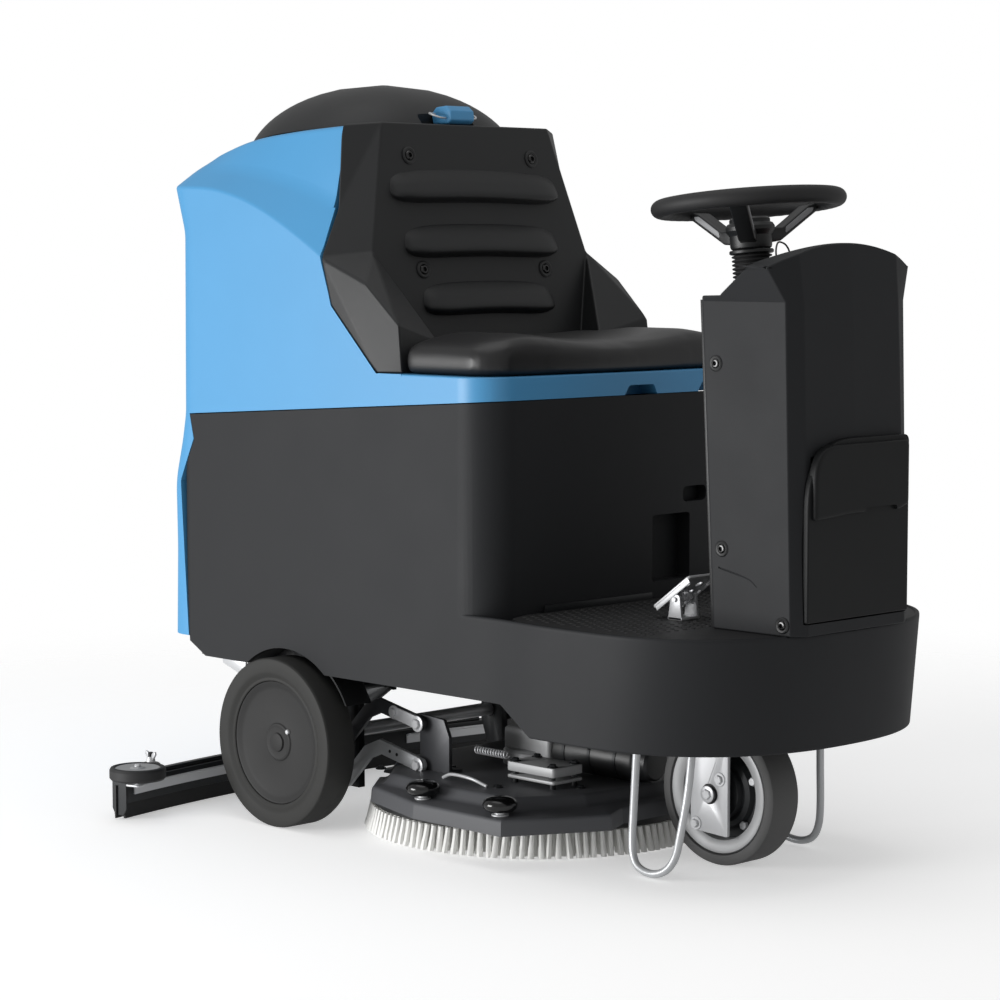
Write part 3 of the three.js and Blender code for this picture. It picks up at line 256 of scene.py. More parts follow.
def prism(name, outline, plane, low, high, finish=None):
    """An outline standing from low to high: plane z takes [x, y], y takes [x, z], x takes [y, z]."""
    def place(u, v, w):
        return {"z": (u, v, w), "y": (u, w, v), "x": (w, u, v)}[plane]
    return loft(name, [[place(u, v, w) for u, v in outline] for w in (low, high)], finish)


def block(name, x0, x1, y0, y1, z0, z1, finish=None):
    return prism(name, rect(x0, x1, y0, y1), "z", z0, z1, finish)


def hull(name, points, finish=None):
    mesh = bpy.data.meshes.new(name)
    bm = bmesh.new()
    for p in points:
        bm.verts.new(at(*p))
    done = bmesh.ops.convex_hull(bm, input=bm.verts)
    bmesh.ops.delete(bm, geom=[g for g in done["geom_interior"] if isinstance(g, bmesh.types.BMVert)],
        context="VERTS")
    bmesh.ops.dissolve_limit(bm, angle_limit=math.radians(0.6), verts=bm.verts, edges=bm.edges)
    bmesh.ops.recalc_face_normals(bm, faces=bm.faces)
    bm.to_mesh(mesh)
    bm.free()
    return new_object(name, mesh, finish)


def paint(o, finish):
    """Gives a whole mesh one finish."""
    for p in o.data.polygons:
        p.material_index = 0
    o.data.materials.clear()
    o.data.materials.append(finish)
    return o


def bake(o):
    """Applies an object's modifiers."""
    bpy.context.view_layer.update()
    mesh = bpy.data.meshes.new_from_object(o.evaluated_get(bpy.context.evaluated_depsgraph_get()))
    o.modifiers.clear()
    o.data = mesh
    return o


def drop(o):
    bpy.data.objects.remove(o, do_unlink=True)


def combine(o, others, operation):
    for other in others:
        mod = o.modifiers.new("combine", "BOOLEAN")
        mod.operation = operation
        mod.object = other
        mod.solver = "MANIFOLD"
        bake(o)
        drop(other)
    return o


def cut(o, *tools):
    return combine(o, tools, "DIFFERENCE")


def keep(o, *tools):
    return combine(o, tools, "INTERSECT")


def fuse(o, *tools):
    return combine(o, tools, "UNION")


def bevel(o, width, segments=3, angle=30, clamp=False):
    bm = bmesh.new()
    bm.from_mesh(o.data)
    bmesh.ops.remove_doubles(bm, verts=bm.verts, dist=2e-5)
    bmesh.ops.dissolve_limit(bm, angle_limit=math.radians(0.4), verts=bm.verts, edges=bm.edges)
    bm.to_mesh(o.data)
    bm.free()
    mod = o.modifiers.new("bevel", "BEVEL")
    mod.width = width * MM
    mod.segments = segments
    mod.limit_method = "ANGLE"
    mod.angle_limit = math.radians(angle)
    mod.use_clamp_overlap = clamp
    mod.miter_outer = "MITER_ARC"
    return bake(o)


def smooth(o, angle=32):
    for p in o.data.polygons:
        p.use_smooth = True
    o.data.set_sharp_from_angle(angle=math.radians(angle))
    return o


def soft(o, width, segments=2, angle=40, shade=32):
    """Bevels an object's edges and shades it smooth."""
    return smooth(bevel(o, width, segments, angle), shade)


def weighted(o):
    mod = o.modifiers.new("normals", "WEIGHTED_NORMAL")
    mod.keep_sharp = True
    mod.weight = 80
    return o


def merge(name, objects):
    """Several meshes as one object, with all their materials."""
    bm = bmesh.new()
    finishes = []
    for o in objects:
        bpy.context.view_layer.update()
        mesh = o.data.copy()
        mesh.transform(o.matrix_world)
        shift = []
        for m in mesh.materials:
            if m not in finishes:
                finishes.append(m)
            shift.append(finishes.index(m))
        for p in mesh.polygons:
            p.material_index = shift[p.material_index] if shift else 0
        bm.from_mesh(mesh)
        bpy.data.meshes.remove(mesh)
    mesh = bpy.data.meshes.new(name)
    bm.to_mesh(mesh)
    bm.free()
    for o in objects:
        drop(o)
    result = new_object(name, mesh)
    for m in finishes:
        mesh.materials.append(m)
    return result


def turned(name, profile, centre, axis, finish=None, sides=64):
    """A body of revolution: profile is [radius, distance along the axis], as a closed outline."""
    axis = Vector(axis).normalized()
    side = axis.orthogonal().normalized()
    other = axis.cross(side)
    c = Vector(centre)
    rows = []
    for i in range(sides):
        a = 2 * math.pi * i / sides
        out = side * math.cos(a) + other * math.sin(a)
        rows.append([tuple(c + out * r + axis * h) for r, h in profile])
    points = [p for row in rows for p in row]
    o = build(name, points, grid_faces(sides, len(profile), endless=True), finish)
    bm = bmesh.new()
    bm.from_mesh(o.data)
    bmesh.ops.dissolve_degenerate(bm, edges=bm.edges, dist=1e-6)
    bmesh.ops.recalc_face_normals(bm, faces=bm.faces)
    bm.to_mesh(o.data)
    bm.free()
    return o


def smooth_line(points, steps=8):
    """A Catmull-Rom curve through points."""
    p = np.array(points, float)
    p = np.vstack([2 * p[0] - p[1], p, 2 * p[-1] - p[-2]])
    out = []
    for i in range(1, len(p) - 2):
        for k in range(steps):
            t = k / steps
            a, b, c, d = p[i - 1], p[i], p[i + 1], p[i + 2]
            out.append(0.5 * (2 * b + (c - a) * t + (2 * a - 5 * b + 4 * c - d) * t * t
                + (3 * b - a - 3 * c + d) * t ** 3))
    out.append(p[-2])
    return np.array(out)


def tube(name, points, radius, finish=None, sides=16, steps=8, curved=True):
    """A round rod along a curve. radius is a number or a function of the place along it, 0 to 1."""
    line = smooth_line(points, steps) if curved else np.array(points, float)
    n = len(line)
    up = None
    rows = []
    for i in range(n):
        ahead = Vector(line[min(i + 1, n - 1)] - line[max(i - 1, 0)]).normalized()
        up = ahead.orthogonal().normalized() if up is None else (up - ahead * up.dot(ahead)).normalized()
        other = ahead.cross(up)
        r = radius(i / (n - 1)) if callable(radius) else radius
        c = Vector(line[i])
        rows.append([tuple(c + (up * math.cos(a) + other * math.sin(a)) * r)
            for a in (2 * math.pi * k / sides for k in range(sides))])
    return loft(name, rows, finish)


def finished(o, body, *nodes):
    """Hands a piece over: which body it rides on, which solids it stands for."""
    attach(o, body)
    if nodes:
        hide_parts(*nodes)
    return o


def screw(name, place, normal, radius=9.0, finish=TRIM):
    """A recessed socket screw: a washer ring, a domed head and a dark round socket."""
    n = Vector(normal).normalized()
    c = Vector(place)
    ring = turned(name + "_ring", [(radius * 0.72, -3), (radius * 1.25, -3), (radius * 1.3, 0.2),
        (radius * 1.1, 1.4), (radius * 0.8, 0.6)], c, n, finish, 32)
    head = turned(name + "_head", [(0.01, -4), (radius * 0.7, -4), (radius * 0.7, 1.2),
        (radius * 0.55, 2.6), (radius * 0.36, 2.8), (radius * 0.34, -1.5), (0.01, -1.5)], c, n, GLOSS, 24)
    return smooth(merge(name, [smooth(ring), smooth(head)]))


# -------------------- outlines shared by the big mouldings
HALF = 323.0
SEAT_FRONT = 503.0
SEAT_Z = 802.0
FLOOR_Z = 412.0
PARTING = [(-272, 300), (-293, 590), (-254, 668), (-265, 713), (488, 762), (560, 767)]
SHELF_X = [-345, -300, -183, -60, 97, 240, 320]
SHELF_LOW = [1120, 1120, 1113, 1077, 996, 900, 840]
SHELF_HIGH = [1152, 1152, 1149, 1131, 1084, 1010, 960]
SHELF_TOP = [1158, 1167, 1200, 1214, 1222, 1226, 1228]
SHELF_HALF = [286, 286, 284, 281, 276, 272, 270]
SEAT_PANEL_X = 132
SEAT_PANEL_Z = 1171
SEAT_RAKE = 0.188


def along(xs, values):
    """A smooth function of x through the given values."""
    line = smooth_line(list(zip(xs, values)), 12)
    return lambda x: float(np.interp(x, line[:, 0], line[:, 1]))


shelf_low = along(SHELF_X, SHELF_LOW)
shelf_high = along(SHELF_X, SHELF_HIGH)
shelf_top = along(SHELF_X, SHELF_TOP)
shelf_half = along(SHELF_X, SHELF_HALF)


def around(rear_x, radius, front_x, half, height, side=44, corner=12):
    """A loop around the tank from its front right, round the rear, to its front left."""
    near = []
    for i in range(side):
        x = front_x + (rear_x + radius - front_x) * i / side
        near.append((x, -half(x), height(x)))
    wide = half(rear_x + radius)
    for i in range(corner + 1):
        a = math.radians(90 * i / corner)
        x = rear_x + radius - radius * math.sin(a)
        near.append((x, -(wide - radius) - radius * math.cos(a), height(x)))
    return near + [(x, -y, z) for x, y, z in reversed(near)]


def tank_rows(inset, front_x):
    """The recovery tank's skin from its foot to the middle of its roof."""
    wide = lambda x: HALF - inset
    level = lambda z: (lambda x: min(z, shelf_low(x) - 30))
    plain = [(309, -345, 58), (470, -341, 58), (590, -343, 57), (665, -314, 44), (713, -302, 40),
        (1038, -299, 40)]
    rows = [around(x + inset, r - inset, front_x, wide, level(z)) for z, x, r in plain]
    rows.append(around(-336 + inset, 58 - inset, front_x, wide, lambda x: shelf_low(x) - inset * 0.3))
    rows.append(around(-318 + inset, 55 - inset, front_x, lambda x: shelf_half(x) - inset,
        lambda x: shelf_high(x) - inset * 0.5))
    roof = lambda x: shelf_top(x) - inset
    rows.append(around(-298 + inset, 50 - inset, front_x, lambda x: 250 - inset, roof))
    rows.append(around(-262 + inset, 40, front_x, lambda x: 150, roof))
    rows.append(around(-200, 0.4, front_x, lambda x: 0.6, roof))
    return filleted(rows, [0, 20, 24, 14, 12, 14, 5, 16, 9, 0, 0], 5)


def body_plan(rear_x, front_x, half, rear_radius, front_radius, steps=14):
    """A closed plan with rounded rear and front corners and a very slightly bowed front."""
    right = []
    for i in range(steps + 1):
        a = math.radians(90 * i / steps)
        right.append((rear_x + rear_radius - rear_radius * math.cos(a),
            -(half - rear_radius) - rear_radius * math.sin(a)))
    for i in range(steps + 1):
        a = math.radians(90 * i / steps)
        right.append((front_x - front_radius + front_radius * math.sin(a),
            -(half - front_radius) - front_radius * math.cos(a)))
    right.append((front_x + 4, -half * 0.4))
    right.append((front_x + 5, -half * 0.12))
    return right + [(x, -y) for x, y in reversed(right)]


def seat_panel(z):
    """Where the seat back's raked front panel stands at a height."""
    return SEAT_PANEL_X + (SEAT_PANEL_Z - z) * SEAT_RAKE


def seat_solids(name, grow):
    """The seat back's hulls: a raked panel between two faceted bolsters that run down to the cushion."""
    g = grow
    low = SEAT_Z + 0.4 - g
    both = lambda points: points + [(x, -y, z) for x, y, z in points]
    upper = hull(name + "_upper", both([(seat_panel(1228), 197, 1228), (80 - g, 245 + 3 * g, 1223 + g),
        (98 - g, 283 + g, 1080), (99 - g, 323.5 + g, 995 - g), (seat_panel(1004) + 1, 262, 1004),
        (84 - g, 250, 995 - g)]))
    lower = hull(name + "_lower", both([(seat_panel(1004), 262, 1004), (seat_panel(803), 206 + g, low),
        (84 - g, 250, 1004), (150 - g, 206 + g, low)]))
    arms = []
    for sign in (1, -1):
        arms.append(hull(name + "_arm", [(x, sign * y, z) for x, y, z in [(99 - g, 323 + g, 996),
            (seat_panel(1004), 262, 1004), (257, 200, 855), (268, 196 - g, low), (274, 316, low),
            (239 - g, 323 + g, low), (124 - g, 323 + g, 914), (150 - g, 206, low), (120 - g, 250, 960)]]))
    return [upper, lower] + arms


# -------------------- recovery tank
def tank_hollows():
    """The tank's inside and the mouth under its lid."""
    cavity = loft("cavity", tank_rows(8, 200))
    keep(cavity, prism("cavity_side", [(-400, 320), (-400, 1300), (60, 1300), (60, 990), (80, 900),
        (110, 816), (96, 744), (-275, 722), (-264, 667), (-303, 592), (-285, 320)], "y", -330, 330))
    mouth = prism("mouth", rounded([(-250, -130), (-205, -190), (-40, -212), (52, -200), (52, 200),
        (-40, 212), (-205, 190), (-250, 130)], 30), "z", 1120, 1320)
    return cavity, mouth


def recovery_tank():
    body = loft("recovery_tank_looks", tank_rows(0, 300), BLUE)
    plan = body_plan(150, SEAT_FRONT, HALF, 20, 70)
    rows = [[(x, y, z) for x, y in plan] for z in (700, SEAT_Z)]
    inner = [(x * 0.94 + 20, y * 0.94, SEAT_Z) for x, y in plan]
    seat_base = loft("seat_base", filleted(rows + [inner], [0, 4, 0], 3))
    front = prism("front_cut", [(95.5, 1500), (95.5, 996), (124, 914), (239, SEAT_Z + 0.01),
        (900, SEAT_Z + 0.01), (900, 1500)], "y", -400, 400)
    cut(body, front)
    fuse(body, seat_base)
    cut(body, block("beside_seat", 84, 600, -400, 400, 1080, 1500))
    below = prism("below_cut", [(-274, 200), (-274, 309), (-293.8, 590.8), (-254.8, 668.8),
        (-265.8, 713.8), (487.2, 762.8), (600, 767), (600, 200)], "y", -400, 400)
    cut(body, below)
    paint(body, BLUE)
    cavity, mouth = tank_hollows()
    under = block("under_seat", 124, 468, -300, 300, 700, SEAT_Z - 8)
    pockets = [prism("pocket", rounded([(y0, 748), (y0 + 100, 748), (y0 + 84, 780), (y0 + 22, 780)],
        [1, 1, 9, 9]), "x", SEAT_FRONT - 32, SEAT_FRONT + 60) for y0 in (-12, 177)]
    cut(body, cavity, mouth, under, *pockets)
    cut(body, block("seat_gap", 84, 300, -265, 265, SEAT_Z, 1300))
    cut(body, *seat_solids("recess", 0.9))
    spout = turned("spout", rect(20, 27, -26, 4), (-310, 0, 318), UP, BLUE, 40)
    tank = merge("recovery_tank_looks", [body, spout])
    return finished(weighted(smooth(tank, 28)), "upper_tank", "recovery_tank")


recovery_tank()


# -------------------- seat back
def pad(name, z_mid, half_width, height, rise):
    """A long lens-shaped pad on the seat's panel, blunt at its ends and undercut along its lower edge."""
    rows = []
    nu, nv = 64, 22
    lean = math.atan(SEAT_RAKE)
    for j in range(nv + 1):
        v = -1 + 2 * j / nv
        row = []
        for i in range(nu + 1):
            u = -1 + 2 * i / nu
            end = (1 - abs(u) ** 7) ** 0.5 if abs(u) < 1 else 0.0
            z = z_mid + v * height * 0.5 * (0.25 + 0.75 * end) - 6 * (u * u)
            crown = max(0.0, 1 - abs(v) ** (2.2 if v > 0 else 5)) ** 0.55
            side = max(0.0, 1 - abs(u) ** 9) ** 0.6
            lift = rise * crown * side * (0.62 - 0.38 * v)
            row.append((seat_panel(z) - 2.5 + lift * math.cos(lean), u * half_width,
                z + lift * math.sin(lean)))
        rows.append(row)
    return loft(name, rows, SEAT_BLACK, closed=False, caps=False)


def seat_back():
    p = {"A": (121.3, 203, 1228), "B": (80, 259, 1223), "C": (98, 283, 1080), "D": (99, 323.3, 995),
        "E": (163.4, 262, 1004), "F": (257, 200, 855), "G": (268, 196, 802.4), "H": (286, 308, 802.4),
        "I": (239, 323, 802.4), "J": (124, 323, 914), "Q": (201.2, 206, 802.4), "L": (150, 206, 802.4),
        "K": (84, 250, 1000), "M": (200, 312, 952), "N": (276, 306, 884)}
    names = list(p)
    points = [p[n] for n in names] + [(p[n][0], -p[n][1], p[n][2]) for n in names]
    near = lambda n: names.index(n)
    far = lambda n: names.index(n) + len(names)
    faces = []
    for n in ("ABC", "ACE", "CDE", "DME", "EMN", "ENF", "FNH", "FHG", "DJI", "DIM", "MIN", "NIH", "EFQ",
            "FGQ", "QGHIL", "BKC", "CKD", "DKJ", "JKL", "JLI"):
        faces += [tuple(near(c) for c in n), tuple(far(c) for c in reversed(n))]
    for n in ("AEQ", "BA", "KB", "LK", "QL"):
        faces.append(tuple(near(c) for c in n) + tuple(far(c) for c in reversed(n)))
    body = build("seat", points, faces, SEAT_BLACK)
    bevel(body, 4, 4, 10)
    pieces = [smooth(paint(body, SEAT_BLACK), 34)]
    for z_mid, half_width in ((1120, 206), (1025, 187), (925, 160)):
        pieces.append(smooth(pad("pad", z_mid, half_width, 60, 30), 60))
    lean = math.atan(SEAT_RAKE)
    facing = (math.cos(lean), 0, math.sin(lean))
    for x, z in ((132, 1171), (169, 974)):
        for y in (-150, 150):
            pieces.append(screw("seat_screw", (x + 1.5, y, z), facing, 12))
    shell = merge("seat_shell_looks", pieces)
    return finished(weighted(shell), "upper_tank", "seat_shell")


seat_back()


# -------------------- tank lid and its catch
LID_X = -96
LID_Z = 1160
LID_HALF_LENGTH = 198
LID_HALF_WIDTH = 257
LID_RISE = 146


def dome_row(t, sides=96):
    """The lid's outline at a share of its height."""
    spread = math.sqrt(max(1 - t ** 1.9, 0.0009))
    row = []
    for i in range(sides):
        a = 2 * math.pi * i / sides
        reach = lambda v, power: math.copysign(abs(v) ** power, v)
        row.append((LID_X + LID_HALF_LENGTH * spread * reach(math.cos(a), 0.84),
            LID_HALF_WIDTH * spread * reach(math.sin(a), 0.72), LID_Z + LID_RISE * t))
    return row


def tank_lid():
    dome = loft("tank_lid_looks", [dome_row(1 - math.cos(math.pi / 2 * k / 26)) for k in range(27)],
        SEAT_BLACK)
    rim_line = [(-336, 1162.4)] + [(x, shelf_top(x) + 2.4) for x in range(-300, 301, 25)]
    above = prism("above_rim", rim_line + [(300, 1500), (-336, 1500)], "y", -300, 300)
    keep(dome, above)
    bevel(dome, 3, 3, 40, clamp=True)
    hollow = loft("hollow", [[(LID_X + (x - LID_X) * 0.86, y * 0.86, LID_Z - 10 + (z - LID_Z) * 0.9)
        for x, y, z in dome_row(t)] for t in (0, 0.15, 0.3, 0.5, 0.7, 0.85, 0.97)])
    notch = prism("notch", rounded(rect(58, 230, -64, 64), 8), "z", 1229, 1400)
    cut(dome, hollow, notch)
    paint(dome, SEAT_BLACK)
    return finished(smooth(dome, 35), "lid", "tank_lid")


tank_lid()


def lid_latch():
    side = rounded([(64, 1230), (104, 1230), (112, 1237), (110, 1253), (98, 1262), (72, 1260), (60, 1249)], 5)
    body = prism("lid_latch_looks", side, "y", -29, 29, BLUE)
    bevel(body, 3, 3, 35)
    paint(body, BLUE)
    pieces = [smooth(body)]
    for sign in (-1, 1):
        pieces.append(smooth(tube("clip", [(70, sign * 27, 1248), (72, sign * 44, 1249),
            (86, sign * 52, 1246), (98, sign * 44, 1241), (98, sign * 28, 1240)], 1.8, ZINC, 8)))
    return finished(merge("lid_latch_looks", pieces), "lid_catch", "lid_latch")


lid_latch()


# -------------------- solution tank: seat box and skirt
ARCH_CENTRE = (-4, 0, 142)
ARCH_RADIUS = 170


def nose_plan(inset, level, rear_x=430.0, steps=44):
    """The skirt's plan. level is 0 at its lower edge and 1 at its upper edge."""
    nose = 1001 + 7 * level - inset
    wide = 330 + 3 * level - inset
    straight = 675 + 50 * level
    ease = lambda t: t * t * (3 - 2 * t)
    right = []
    for i in range(13):
        x = rear_x + (straight - rear_x) * i / 12
        t = min(max((x - 500) / 150, 0), 1)
        right.append((x, -(HALF - inset + (wide - HALF + inset) * ease(t))))
    for i in range(1, steps + 1):
        t = i / steps * math.pi / 2
        x = straight + (nose - straight) * math.sin(t) ** 0.75
        right.append((x, -max(wide * math.cos(t) ** 0.86, 0.0)))
    return right + [(x, -y) for x, y in reversed(right[:-1])]


def front_skirt():
    """The body's round, hollow front, open below the step."""
    rings = [(-12, 0, 234), (0, 0, 228), (0, 1, 414), (-8, 1, 414), (-8.5, 1, 405)]
    rows = [[(x, y, z) for x, y in nose_plan(-i, level)] for i, level, z in rings]
    skirt = loft("skirt", filleted(rows, [0, 5, 7, 2, 0], 5))
    inner = loft("skirt_inside", [[(max(x, 452), y, z) for x, y in nose_plan(10, level)]
        for level, z in ((0, 210), (1, 388))])
    cut(skirt, inner)
    cut(skirt, prism("step", rounded([(300, 150), (619, 150), (619, 222), (536, 276), (300, 276)],
        [0, 0, 6, 18, 0]), "y", -400, 400))
    return skirt


def wheel_liners(sign):
    """The thin lining of one wheel arch: its roof and its inner wall."""
    pieces = []
    for profile in (rect(170.4, 174, 256, 313.5), rect(24, 173, 256, 260)):
        liner = turned("wheel_liner", [(r, sign * y) for r, y in profile], ARCH_CENTRE, ACROSS, TRIM, 96)
        cut(liner, block("liner_foot", -300, 300, *sorted((sign * 200, sign * 330)), -100, 226))
        pieces.append(smooth(paint(liner, TRIM), 30))
    return pieces


def solution_tank():
    plan = body_plan(-293, SEAT_FRONT, HALF, 26, 70)
    seat_box = loft("solution_tank_looks", [[(x, y, z) for x, y in plan] for z in (200, 800)], DARK)
    profile = [(x + 0.8, z - 0.8) for x, z in PARTING] + [(560, 300), (530, 276), (-226, 276), (-271, 300)]
    keep(seat_box, prism("side_profile", profile, "y", -400, 400))
    body = fuse(seat_box, front_skirt())
    cut(body, block("underside", -246, 470, -313, 313, 150, 340), block("tunnel", -266, 520, -254, 254,
        150, 342), block("well", -226, 440, -282, 282, 352, 900))
    arch = turned("arch", rect(0.01, ARCH_RADIUS, -400, 400), ARCH_CENTRE, ACROSS, None, 96)
    knee = prism("knee_slot", rounded(rect(69, 167, 440, 555), 8), "x", 477, 560)
    hand = prism("hand_hold", rounded(rect(148, 211, 573, 600), 12), "x", 484, 560)
    shaft = turned("shaft_hole", rect(0.01, 28, -40, 40), (844, 0, 395), UP, None, 40)
    cut(body, arch, knee, hand, shaft, block("column_seat", 820, 1100, -150, 150, 411.6, 420))
    paint(body, DARK)
    pieces = [smooth(body, 28)]
    for sign in (-1, 1):
        pieces += wheel_liners(sign)
    return finished(weighted(merge("solution_tank_looks", pieces)), "chassis", "solution_tank")


solution_tank()


# -------------------- front column
HOOD_HALF = 175
HOOD_RADIUS = 434
HOOD_CENTRE_Z = 585


def column_row(rear_x, side_x, front_x, half, flat, z):
    """The column's outline at one height: half across its sides, flat across its front."""
    outline = [(rear_x, -147), (side_x, -half), (front_x, -flat), (front_x + 2, 0), (front_x, flat),
        (side_x, half), (rear_x, 147)]
    return [(x, y, z) for x, y in rounded(outline, [6, 4, 16, 60, 16, 4, 6], 6)]


def front_column():
    levels = [(834, 992, 1008, 146, 122, FLOOR_Z + 0.4), (806, 978, 990, 147, 118, 928),
        (806, 964, 984, 178, 120, 984), (806, 952, 978, 200, 122, 1030)]
    body = loft("front_column_looks", filleted([column_row(*v) for v in levels], [0, 0, 8, 0], 6), DARK)
    arch = [(-HOOD_RADIUS * math.cos(math.radians(a)),
        HOOD_CENTRE_Z + HOOD_RADIUS * math.sin(math.radians(a))) for a in np.linspace(66.25, 113.75, 40)]
    arch = [(-HOOD_HALF, 300)] + arch + [(HOOD_HALF, 300)]
    keep(body, prism("arch", arch, "x", 600, 1200))
    keep(body, prism("roof", [(700, 300), (1100, 300), (1100, 1024), (975, 1022), (847, 937), (700, 936)],
        "y", -300, 300))
    bevel(body, 3, 3, 40)
    space = block("shaft_space", 700, 880, -142, 142, 380, 905)
    way = block("shaft_way", 700, 846, -50, 50, 880, 990)
    well = prism("dash_well", [(846, 929), (948, 998), (948, 1100), (846, 1100)], "y", -112, 112)
    store = block("bin", 902, 1100, -108, 108, 442, 690)
    door = prism("door_seat", rounded(rect(-128, 128, 431, 717), [3, 3, 14, 112]), "x", 998.5, 1100)
    cut(body, space, way, well, store, door)
    for sign in (-1, 1):
        groove = tube("groove", [(846, sign * 146.5, 510), (905, sign * 147.5, 497),
            (925, sign * 147.5, 485)], 1.6, None, 8)
        cut(body, groove)
    paint(body, DARK)
    pieces = [smooth(body, 18)]
    for sign in (-1, 1):
        for x, z in ((838, 831), (853, 540), (977, 430)):
            pieces.append(screw("column_screw", (x, sign * 147.5, z), (0, sign, 0), 10))
    return finished(weighted(merge("front_column_looks", pieces)), "chassis", "front_column")


front_column()


# -------------------- storage door
def storage_door():
    outline = rounded(rect(-126, 126, 433, 716), [3, 3, 12, 108], 10)
    panel = prism("storage_door_looks", outline, "x", 999, 1010, DOOR_BLACK)
    bevel(panel, 2.5, 3, 40)
    swell_line = rounded([(-117, 592), (-30, 598), (96, 598), (118, 606), (118, 708), (-117, 708)],
        [6, 20, 10, 8, 8, 98], 10)
    swell = loft("swell", filleted([[(1004, y, z) for y, z in swell_line],
        [(1017, y, z) for y, z in swell_line], [(1018, y * 0.93, 652 + (z - 652) * 0.86)
        for y, z in swell_line]], [0, 7, 0], 5), DOOR_BLACK)
    slot = prism("finger_slot", rounded([(0, 590), (92, 590), (84, 606), (8, 606)], 5), "x", 1011, 1040)
    cut(swell, slot)
    for o in (panel, swell):
        paint(o, DOOR_BLACK)
    return finished(weighted(merge("storage_door_looks", [smooth(panel), smooth(swell, 30)])), "door",
        "storage_door")


storage_door()


# -------------------- seat cushion
CUSHION_VOXEL = 6.5
CUSHION_SWELL = 5


def cushion_plan(inset):
    """The cushion's outline, drawn in by an inset at its edge."""
    half = [(206, 0), (206, 170), (262, 184), (278, 200), (285, 296), (294, 310)]
    half += [(440 + 62 * math.cos(math.radians(a)), 246 + 62 * math.sin(math.radians(a)))
        for a in range(80, 10, -7)]
    half += [(506, 160), (511, 60), (512, 0)]
    ring = half + [(x, -y) for x, y in reversed(half[1:-1])]
    return [(370 + (x - 370) * (1 - inset / 155), y * (1 - inset / 306)) for x, y in ring]


def cushion():
    base_z, top_z = SEAT_Z + 1.0, SEAT_Z + 50
    rings = [(6, base_z), (0.5, base_z + 8), (0, base_z + 26), (4, top_z - 9), (16, top_z - 1),
        (70, top_z + 5)]
    rows = [[(x, y, z) for x, y in rounded(cushion_plan(i), 12, 3)] for i, z in rings]
    o = loft("seat_cushion_looks", filleted(rows, [0, 8, 14, 12, 20, 0], 3), VINYL)
    mod = o.modifiers.new("remesh", "REMESH")
    mod.mode = "VOXEL"
    mod.voxel_size = CUSHION_VOXEL * MM
    bake(o)
    rest = np.array([v.co for v in o.data.vertices])
    mod = o.modifiers.new("cloth", "CLOTH")
    mod.settings.quality = 4
    mod.settings.mass = 0.3
    mod.settings.tension_stiffness = 25
    mod.settings.compression_stiffness = 25
    mod.settings.bending_stiffness = 4
    mod.settings.use_pressure = True
    mod.settings.uniform_pressure_force = 4
    mod.settings.effector_weights.gravity = 0
    mod.point_cache.frame_start = 1
    mod.point_cache.frame_end = 20
    for f in range(1, 21):
        bpy.context.scene.frame_set(f)
    bake(o)
    bpy.context.scene.frame_set(1)
    now = np.array([v.co for v in o.data.vertices])
    step = now - rest
    size = np.linalg.norm(step, axis=1)[:, None] + 1e-12
    now = rest + step / size * np.minimum(size, CUSHION_SWELL * MM)
    now[:, 2] = np.maximum(now[:, 2], (SEAT_Z + 0.5) * MM)
    x, y, z = now[:, 0] / MM - AXLE_X / MM, now[:, 1] / MM, now[:, 2] / MM
    share = np.clip((z - SEAT_Z - 12) / 40, 0, 1)
    bolster = np.exp(-((np.abs(y) - 205) / 75) ** 2)
    dish = np.exp(-(y / 120) ** 2) * np.clip((x - 250) / 200, 0, 1)
    rear = np.clip((300 - x) / 90, 0, 1)
    now[:, 2] += share * (9 * bolster - 5 * dish + 4 * rear) * MM
    nose = np.clip((x - 470) / 40, 0, 1)
    now[:, 0] -= nose * (1 - share) * 3 * MM
    o.data.vertices.foreach_set("co", now.ravel())
    o.data.update()
    mod = o.modifiers.new("even", "SMOOTH")
    mod.factor = 0.5
    mod.iterations = 6
    bake(o)
    mod = o.modifiers.new("finer", "SUBSURF")
    mod.levels = mod.render_levels = 1
    bake(o)
    paint(o, VINYL)
    finished(smooth(o, 180), "upper_tank", "seat_cushion")


cushion()


# -------------------- wheels
def wheel_centre(node):
    low, high = mm_box(node)
    return (low + high) / 2


def rear_tyre(side, sign):
    c = wheel_centre("rear_tyre_" + side)
    out = (0, sign, 0)
    tyre = turned("rear_tyre_looks_" + side, [(108, -27), (111, -32), (141, -33), (146.5, -30),
        (148.9, -25), (148.9, 27.5), (148.3, 30), (146.8, 32), (144, 33), (136, 33), (126, 32.6),
        (121, 31.2), (117.5, 28.4), (114, 27), (110, 27.4), (108.6, 26.4)], c, out, WHEEL, 144)
    finished(smooth(tyre, 26), "rear_wheel_" + side, "rear_tyre_" + side)


def rear_hub(side, sign):
    c = wheel_centre("rear_tyre_" + side)
    out = (0, sign, 0)
    hub = turned("hub", [(0.01, 24.5), (13, 24.5), (16, 23.4), (17, 20.2), (26, 19.6), (29.5, 20.6),
        (32, 19.8), (34, 17.6), (44, 16.8), (92, 18.6), (99, 20.6), (104, 24), (107.4, 25), (107.4, -24),
        (96, -21), (40, -20), (35, -33), (13.2, -33), (13.2, 15), (0.01, 15)], c, out, WHEEL_DISC, 144)
    bolt = turned("bolt", [(0.01, -2), (4.2, -2), (4.2, 1.2), (3.2, 2.4), (0.01, 2.6)],
        Vector((c.x + 26, c.y + sign * 19.6, c.z + 21)), out, ZINC, 16)
    tracks = [smooth(hub, 26), smooth(bolt)]
    finished(merge("rear_hub_looks_" + side, tracks), "rear_wheel_" + side, "rear_hub_" + side)


for side, sign in SIDES:
    rear_tyre(side, sign)
    rear_hub(side, sign)


